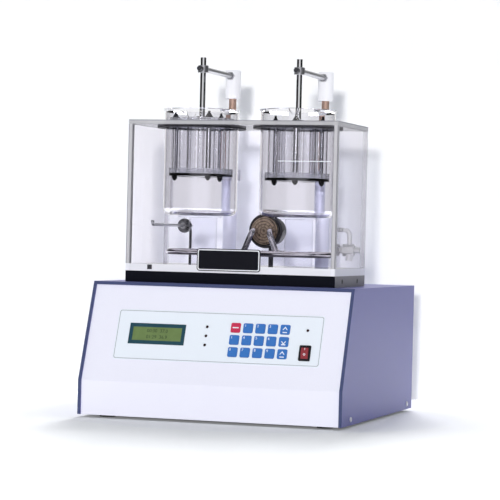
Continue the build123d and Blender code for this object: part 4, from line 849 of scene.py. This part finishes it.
def clear_sheet(name, tint):
    """Clear plastic that light crosses straight, with a faint smeared shine."""
    material = bpy.data.materials.new(name)
    material.use_nodes = True
    tree = material.node_tree
    tree.nodes.clear()
    path = tree.nodes.new("ShaderNodeLightPath")
    through = tree.nodes.new("ShaderNodeBsdfTransparent")
    colour = tree.nodes.new("ShaderNodeMix")
    colour.data_type = "RGBA"
    tree.links.new(path.outputs["Is Shadow Ray"], colour.inputs["Factor"])
    colour.inputs["A"].default_value = (*tint, 1)
    colour.inputs["B"].default_value = (*CLEAR_SHADOW, 1)
    tree.links.new(colour.outputs["Result"], through.inputs["Color"])
    shine = tree.nodes.new("ShaderNodeBsdfGlossy")
    place = tree.nodes.new("ShaderNodeTexCoord")
    smears = tree.nodes.new("ShaderNodeTexNoise")
    smears.inputs["Scale"].default_value = SMEAR_SCALE
    tree.links.new(place.outputs["Object"], smears.inputs["Vector"])
    smeared = eased(tree, smears.outputs["Fac"], GRAIN_LOW, GRAIN_HIGH, *SMEAR_ROUGH)
    tree.links.new(smeared, shine.inputs["Roughness"])
    angle = tree.nodes.new("ShaderNodeFresnel")
    inner_face = tree.nodes.new("ShaderNodeNewGeometry").outputs["Backfacing"]
    tree.links.new(eased(tree, inner_face, 0, 1, ACRYLIC_INDEX, 1 / ACRYLIC_INDEX), angle.inputs["IOR"])
    clear = tree.nodes.new("ShaderNodeMixShader")
    tree.links.new(angle.outputs[0], clear.inputs[0])
    tree.links.new(through.outputs[0], clear.inputs[1])
    tree.links.new(shine.outputs[0], clear.inputs[2])
    end = tree.nodes.new("ShaderNodeOutputMaterial")
    tree.links.new(clear.outputs[0], end.inputs[0])
    return material


def ground_edge_and_painted_light(material, share, colour):
    """Lays a flat colour over what a sheet shows where the share is one, for ground edges and for painted
    light.
    """
    tree = material.node_tree
    end = tree.nodes["Material Output"]
    before = end.inputs[0].links[0].from_socket
    ground = tree.nodes.new("ShaderNodeBsdfDiffuse")
    if isinstance(colour, tuple):
        ground.inputs["Color"].default_value = (*colour, 1)
    else:
        tree.links.new(colour, ground.inputs["Color"])
    edge = tree.nodes.new("ShaderNodeMixShader")
    tree.links.new(share, edge.inputs[0])
    tree.links.new(before, edge.inputs[1])
    tree.links.new(ground.outputs[0], edge.inputs[2])
    tree.links.new(edge.outputs[0], end.inputs[0])


def striped(tree, value, stops):
    """A colour that changes sharply at each (position, colour) stop, the first of which is at nought."""
    ramp = tree.nodes.new("ShaderNodeValToRGB")
    ramp.color_ramp.interpolation = "CONSTANT"
    elements = ramp.color_ramp.elements
    elements.remove(elements[1])
    elements[0].color = (*stops[0][1], 1)
    for position, colour in stops[1:]:
        elements.new(position).color = (*colour, 1)
    tree.links.new(value, ramp.inputs["Fac"])
    return ramp.outputs["Color"]


tank_low, tank_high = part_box("tank_shell")
tank_acrylic = clear_sheet("tank_acrylic", ACRYLIC_TINT)
tree = tank_acrylic.node_tree
place = coordinates(tank_acrylic)
facing = [worked(tree, "ABSOLUTE", side) for side in coordinates(tank_acrylic, "Normal")]
to_front = worked(tree, "GREATER_THAN", facing[1], FACING)
to_side = worked(tree, "SUBTRACT", 1, to_front)
upright = worked(tree, "LESS_THAN", facing[2], FACING)
side_way = worked(tree, "SUBTRACT", tank_high.x, worked(tree, "ABSOLUTE", place[0]))
front_way = worked(tree, "SUBTRACT", place[1], tank_low.y)
back_way = worked(tree, "SUBTRACT", tank_high.y, place[1])
end_way = worked(tree, "MINIMUM", front_way, back_way)
across = worked(tree, "MULTIPLY", side_way, to_front)
edge_way = worked(tree, "ADD", across, worked(tree, "MULTIPLY", end_way, to_side))
corner = worked(tree, "MULTIPLY", worked(tree, "LESS_THAN", edge_way, SHEET), upright)
# The pale band and its dark outlines at each corner are painted light and shade, stronger at the front.
corner_painted_stops = [(0, CORNER_PAINTED_SHADE), (CORNER_LINE_SHARE, CORNER_PAINTED_LIGHT), (1 - CORNER_LINE_SHARE, CORNER_PAINTED_SHADE)]
corner_painted_stripes = striped(tree, worked(tree, "DIVIDE", edge_way, SHEET), corner_painted_stops)
in_back_half = worked(tree, "GREATER_THAN", place[1], (tank_low.y + tank_high.y) / 2)
band_share = eased(tree, in_back_half, 0, 1, FRONT_BAND_SHARE, BACK_BAND_SHARE)
ground_edge_and_painted_light(tank_acrylic, worked(tree, "MULTIPLY", corner, band_share), corner_painted_stripes)
floor_zone = worked(tree, "MULTIPLY", worked(tree, "LESS_THAN", place[2], BATH_FLOOR_TOP), upright)
ground_edge_and_painted_light(tank_acrylic, worked(tree, "MULTIPLY", floor_zone, FLOOR_EDGE_SHARE), FLOOR_EDGE)
finish_node(tank_acrylic, "tank_shell")

# Lid: one more acrylic sheet, laid on the walls, with two round holes for the beakers. Its sawn edge is grey,
# with a dark line of painted shade along its upper arris.
LID_EDGE = (0.5, 0.495, 0.52)
LID_EDGE_SHARE = 0.8
LID_LINE = 0.0012
lid_acrylic = clear_sheet("lid_acrylic", ACRYLIC_TINT)
tree = lid_acrylic.node_tree
lid_height = worked(tree, "SUBTRACT", coordinates(lid_acrylic)[2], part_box("tank_lid")[0].z)
# The dark line along the upper arris is painted shade.
lid_stops = [(0, LID_EDGE), (1 - LID_LINE / SHEET, CORNER_PAINTED_SHADE)]
lid_stripes = striped(tree, worked(tree, "DIVIDE", lid_height, SHEET), lid_stops)
lid_facing = worked(tree, "ABSOLUTE", coordinates(lid_acrylic, "Normal")[2])
upright = worked(tree, "LESS_THAN", lid_facing, FACING)
ground_edge_and_painted_light(lid_acrylic, worked(tree, "MULTIPLY", upright, LID_EDGE_SHARE), lid_stripes)
finish_node(lid_acrylic, "tank_lid")

# Pedestals: clear acrylic stools under the beakers, sawn from thick tube. They show as faint pale rings
# at the bottom of the bath.
PEDESTAL_TINT = (0.95, 0.95, 0.97)
finish_node(clear_sheet("pedestal_acrylic", PEDESTAL_TINT), "beaker_pedestals")

# Name plate: a black anodised sheet, stuck to the bath's foot and left bare. A bright silver line with
# round corners runs round its edge.
PLATE_BLACK = (0.006, 0.006, 0.01)
PLATE_SILVER = (0.8, 0.81, 0.85)
PLATE_LINE_INSET = 0.0012
PLATE_LINE_W = 0.0014
PLATE_OUTER_R = 0.0028
PLATE_INNER_R = 0.0018
plate_black = grained(
    "plate_black", PLATE_BLACK, rough=0.45, scale=500.0, spread=0.15, bump=0.03, Specular_IOR_Level=0.1,
)
finish_node(plate_black, "name_plate")
plate_low, plate_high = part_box("name_plate")
plate_size = (plate_high.x - plate_low.x, plate_high.z - plate_low.z)
plate_line = framed(
    "name_plate_line", *plate_size, PLATE_LINE_INSET, PLATE_LINE_W, PLATE_OUTER_R, PLATE_INNER_R,
    -INK, INK, (0, 0),
)
face_forward = Matrix.Rotation(math.radians(90), 4, "X")
middle = ((plate_low.x + plate_high.x) / 2, plate_low.y, (plate_low.z + plate_high.z) / 2)
plate_line.transform(Matrix.Translation(middle) @ face_forward)
plate_silver = grained("plate_silver", PLATE_SILVER, rough=0.4, scale=500.0, spread=0.06, bump=0.02)
printed(plate_line, plate_silver, "plate_black")

# Water line: a thin white line, screen-printed on the bath's front to the right of the left beaker. It
# shows how high to fill the bath.
LINE_X = (0.0671, 0.1427)
LINE_Z = 0.357
LINE_H = 0.001
line_size = (LINE_X[1] - LINE_X[0], 2 * INK, LINE_H)
line_place = ((LINE_X[0] + LINE_X[1]) / 2, tank_low.y - INK, LINE_Z)
printed(block("water_line", line_size, line_place), sign_white, "overlay_film")

# Collars: black moulded rubber rings under the lid that steady the beakers, and the small clip and gasket
# at the bath's foot. Rubber has a dull, slightly bloomed face.
RUBBER_BLACK = (0.035, 0.034, 0.04)
seal_rubber = grained(
    "seal_rubber", RUBBER_BLACK, rough=0.6, scale=500.0, spread=0.3, bump=0.3, Specular_IOR_Level=0.2,
)
finish_node(seal_rubber, "bath_seals")

# Beakers: blown borosilicate glass with a rolled rim and a pouring lip. The wall varies a little in
# thickness, so it shows faint waves.
BEAKER_TINT = (0.9, 0.9, 0.93)
BEAKER_WAVES = 30.0
GLASS_INDEX = 1.47
WAVE_SPREAD = 0.004
WAVE_BUMP = 0.012


def blown_glass(name, tint, waves):
    """Glass that bends light, lets lamps shine through it, and has faint waves in its surface."""
    material = grained(
        name, tint, rough=0.0, scale=waves, spread=WAVE_SPREAD, bump=WAVE_BUMP, fine=1.0,
        Transmission_Weight=1.0, IOR=GLASS_INDEX,
    )
    tree = material.node_tree
    path = tree.nodes.new("ShaderNodeLightPath")
    passing = tree.nodes.new("ShaderNodeBsdfTransparent")
    passing.inputs["Color"].default_value = (*CLEAR_SHADOW, 1)
    either = tree.nodes.new("ShaderNodeMixShader")
    tree.links.new(path.outputs["Is Shadow Ray"], either.inputs[0])
    tree.links.new(tree.nodes["Principled BSDF"].outputs[0], either.inputs[1])
    tree.links.new(passing.outputs[0], either.inputs[2])
    tree.links.new(either.outputs[0], tree.nodes["Material Output"].inputs[0])
    return material


finish_node(blown_glass("beaker_glass", BEAKER_TINT, BEAKER_WAVES), "beakers")

# Heater plug: a turned bronze bush, screwed through the back wall with a ringed flange. Water has left it
# mottled brown with blackened grooves, and its outer rim is coloured near black.
BRONZE = (0.27, 0.2, 0.15)
GROOVE_AND_RIM_BLACK = (0.02, 0.018, 0.018)
GROOVE_PITCH = 0.0042
GROOVE_START = 0.35
GROOVE_END = 0.8
GROOVE_SHARE = 0.65
PLUG_RIM = 0.0022


def from_axis(tree, first, second, middle):
    """How far a point lies from an axis, from its two places across the axis and the axis's own."""
    squares = []
    for way, centre in ((first, middle[0]), (second, middle[1])):
        squares.append(worked(tree, "POWER", worked(tree, "SUBTRACT", way, centre), 2))
    return worked(tree, "SQRT", worked(tree, "ADD", *squares))


plug_low, plug_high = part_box("heater_plug")
plug_mid = ((plug_low.x + plug_high.x) / 2, (plug_low.z + plug_high.z) / 2)
plug_bronze = grained("plug_bronze", BRONZE, rough=0.4, scale=260.0, spread=0.5, bump=0.3, metal=0.6)
tree = plug_bronze.node_tree
place = coordinates(plug_bronze)
radius = from_axis(tree, place[0], place[2], plug_mid)
ring_wave = worked(tree, "SINE", worked(tree, "MULTIPLY", radius, math.tau / GROOVE_PITCH))
grooves = worked(tree, "MULTIPLY", eased(tree, ring_wave, GROOVE_START, GROOVE_END), GROOVE_SHARE)
# The outer rim is coloured near black, as the grooves are.
rim = worked(tree, "GREATER_THAN", radius, (plug_high.z - plug_low.z) / 2 - PLUG_RIM)
recoloured(plug_bronze, worked(tree, "MAXIMUM", grooves, rim), GROOVE_AND_RIM_BLACK)
finish_node(plug_bronze, "heater_plug")

# Heater: the element's bent sheath, a drawn chromed tube that lies round the beakers near the bath's
# floor. Heat has dulled it to a purple-grey between its bright streaks.
HEATER_GREY = (0.52, 0.5, 0.55)
heater_chrome = grained("heater_chrome", HEATER_GREY, rough=0.2, scale=80.0, spread=0.1, bump=0.01, metal=1.0)
finish_node(heater_chrome, "heater_element")

# Temperature probe: drawn stainless steel in a compression gland through the back wall. The gland's nut
# is darker than the rod, because scale has gathered on it.
PROBE_GREY = (0.42, 0.42, 0.44)
PROBE_GRAIN = (1, 0.1, 1)
PROBE_ROD_R = 0.0045
GLAND_DARK = (0.1, 0.1, 0.11)
GLAND_SHARE = 0.8
probe_low, probe_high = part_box("temperature_probe")
probe_mid = ((probe_low.x + probe_high.x) / 2, (probe_low.z + probe_high.z) / 2)
probe_steel = grained(
    "probe_steel", PROBE_GREY, rough=0.28, scale=120.0, spread=0.1, bump=0.02, metal=1.0,
    stretch=PROBE_GRAIN,
)
tree = probe_steel.node_tree
place = coordinates(probe_steel)
gland = worked(tree, "GREATER_THAN", from_axis(tree, place[0], place[2], probe_mid), PROBE_ROD_R)
recoloured(probe_steel, worked(tree, "MULTIPLY", gland, GLAND_SHARE), GLAND_DARK)
finish_node(probe_steel, "temperature_probe")

# Drain: a pale translucent plastic elbow with its level tube, screwed into the bath's right wall. It is
# moulded, and milky from hard water.
FITTING_PALE = (0.62, 0.61, 0.66)
fitting_plastic = grained(
    "fitting_plastic", FITTING_PALE, rough=0.35, scale=300.0, spread=0.08, bump=0.04,
    Transmission_Weight=0.3, IOR=1.4,
)
finish_node(fitting_plastic, "drain_fitting")

# Leads: the heater's and probe's black sleeved wires with their moulded cup and grommets behind the bath.
# They go down through the cover to the board.
SLEEVE_BLACK = (0.03, 0.03, 0.033)
lead_black = grained("lead_black", SLEEVE_BLACK, rough=0.45, scale=600.0, spread=0.15, bump=0.08)
finish_node(lead_black, "bath_leads")

# Guide columns: satin anodised aluminium tubes behind the bath, bolted to the cover. They guide the two
# brass rods, and their drawn grain runs upright.
SATIN_ALUMINIUM = (0.78, 0.79, 0.9)
DRAWN_GRAIN = (1, 1, 0.1)
column_metal = grained(
    "column_metal", SATIN_ALUMINIUM, rough=0.45, scale=80.0, spread=0.06, bump=0.03, metal=0.25,
    stretch=DRAWN_GRAIN,
)
finish_node(column_metal, "guide_columns")

# Guide nuts: pale grey moulded hexagons on top of the columns, with the plastic bushes in them. They keep
# the rods from rattling.
BUSH_GREY = (0.58, 0.57, 0.62)
bush_grey = grained("bush_grey", BUSH_GREY, rough=0.5, scale=700.0, spread=0.05, bump=0.1)
finish_node(bush_grey, "guide_bushes")

# Rods: two ground brass rods that the crosshead pushes up and down. The brass has tarnished to a dull
# pinkish brown.
TARNISHED_BRASS = (0.6, 0.4, 0.33)
rod_brass = grained(
    "rod_brass", TARNISHED_BRASS, rough=0.35, scale=90.0, spread=0.1, bump=0.02, metal=0.8,
    stretch=DRAWN_GRAIN,
)
finish_node(rod_brass, "drive_rods")

# Rod caps: turned white nylon, pressed on the rods above the arms. The nylon is bright and a little
# waxy.
NYLON_WHITE = (0.92, 0.92, 0.97)
cap_white = grained(
    "cap_white", NYLON_WHITE, rough=0.5, scale=500.0, spread=0.01, bump=0.05, Specular_IOR_Level=0.3,
)
finish_node(cap_white, "rod_caps")

# Arms: ground steel bars from the rods to the baskets, with a nut at the rear end. The grain runs along
# each bar.
ARM_GREY = (0.42, 0.42, 0.45)
ARM_GRAIN = (1, 0.1, 1)
arm_steel = grained(
    "arm_steel", ARM_GREY, rough=0.3, scale=90.0, spread=0.1, bump=0.03, metal=1.0, stretch=ARM_GRAIN,
)
finish_node(arm_steel, "support_arms")

# Crosshead: a milled aluminium bar inside the cover, with its grain along its length. It carries both
# rods and the roller's pin.
MILLED_GREY = (0.6, 0.61, 0.63)
MILLED_GRAIN = (0.1, 1, 1)
crosshead_metal = grained(
    "crosshead_metal", MILLED_GREY, rough=0.4, scale=90.0, spread=0.08, bump=0.04, metal=1.0,
    stretch=MILLED_GRAIN,
)
finish_node(crosshead_metal, "crosshead")

# Cam and roller: hardened steel, ground on the edge that the roller follows. A thin film of oil darkens
# both.
OILED_GREY = (0.42, 0.42, 0.44)
cam_steel = grained("cam_steel", OILED_GREY, rough=0.3, scale=120.0, spread=0.12, bump=0.03, metal=1.0)
finish_node(cam_steel, "drive_cam", "cam_roller")

# Clamp knobs: small knurled steel heads at the arms' front ends, blackened. Each pinches a basket's
# shaft.
KNOB_BLACK = (0.08, 0.08, 0.09)
knob_dark = grained("knob_dark", KNOB_BLACK, rough=0.35, scale=500.0, spread=0.2, bump=0.1, metal=0.9)
finish_node(knob_dark, "left_clamp_knob", "right_clamp_knob")

# Basket frames: a chromed shaft and three stays through two plates. The cone nuts on top and the cap nuts
# below are blackened steel.
SHAFT_R = 0.008
RACK_MID = (0.0715, -0.038)
CHROME = (0.66, 0.66, 0.69)
NUT_BLACK = (0.02, 0.02, 0.024)
for side, sign in (("left", -1), ("right", 1)):
    rack_low, rack_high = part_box(side + "_rack_plates")
    rack_chrome = grained(
        side + "_rack_chrome", CHROME, rough=0.06, scale=60.0, spread=0.06, bump=0.01, metal=1.0,
    )
    tree = rack_chrome.node_tree
    place = coordinates(rack_chrome)
    shaft_way = from_axis(tree, place[0], place[1], (sign * RACK_MID[0], RACK_MID[1]))
    above = worked(tree, "GREATER_THAN", place[2], rack_high.z)
    below = worked(tree, "LESS_THAN", place[2], rack_low.z)
    off_shaft = worked(tree, "GREATER_THAN", shaft_way, SHAFT_R)
    nuts = worked(tree, "MULTIPLY", worked(tree, "MAXIMUM", above, below), off_shaft)
    recoloured(rack_chrome, nuts, NUT_BLACK)
    finish_node(rack_chrome, side + "_rack_frame")

# Basket plates: two discs of smoky acrylic in each basket, bored for six tubes. Their turned
# edges scatter the light and look grey.
RACK_TINT = (0.96, 0.96, 0.97)
RACK_EDGE = (0.3, 0.3, 0.32)
RACK_EDGE_SHARE = 0.4
RACK_EDGE_DEPTH = 0.0003
RACK_PLATE_R = 0.0455
rack_acrylic = clear_sheet("rack_acrylic", RACK_TINT)
tree = rack_acrylic.node_tree
place = coordinates(rack_acrylic)
plate_way = from_axis(tree, worked(tree, "ABSOLUTE", place[0]), place[1], RACK_MID)
rack_rim = worked(tree, "GREATER_THAN", plate_way, RACK_PLATE_R - RACK_EDGE_DEPTH)
ground_edge_and_painted_light(rack_acrylic, worked(tree, "MULTIPLY", rack_rim, RACK_EDGE_SHARE), RACK_EDGE)
finish_node(rack_acrylic, "left_rack_plates", "right_rack_plates")

# Tubes: six open tubes of drawn glass in each basket, held between the plates. Their ends are ground and
# look grey.
TUBE_TINT = (0.975, 0.975, 0.985)
TUBE_WAVES = 40.0
finish_node(blown_glass("tube_glass", TUBE_TINT, TUBE_WAVES), "left_rack_tubes", "right_rack_tubes")

# Colours are shown as they are written.
bpy.context.scene.view_settings.view_transform = "Standard"
bpy.context.view_layer.update()
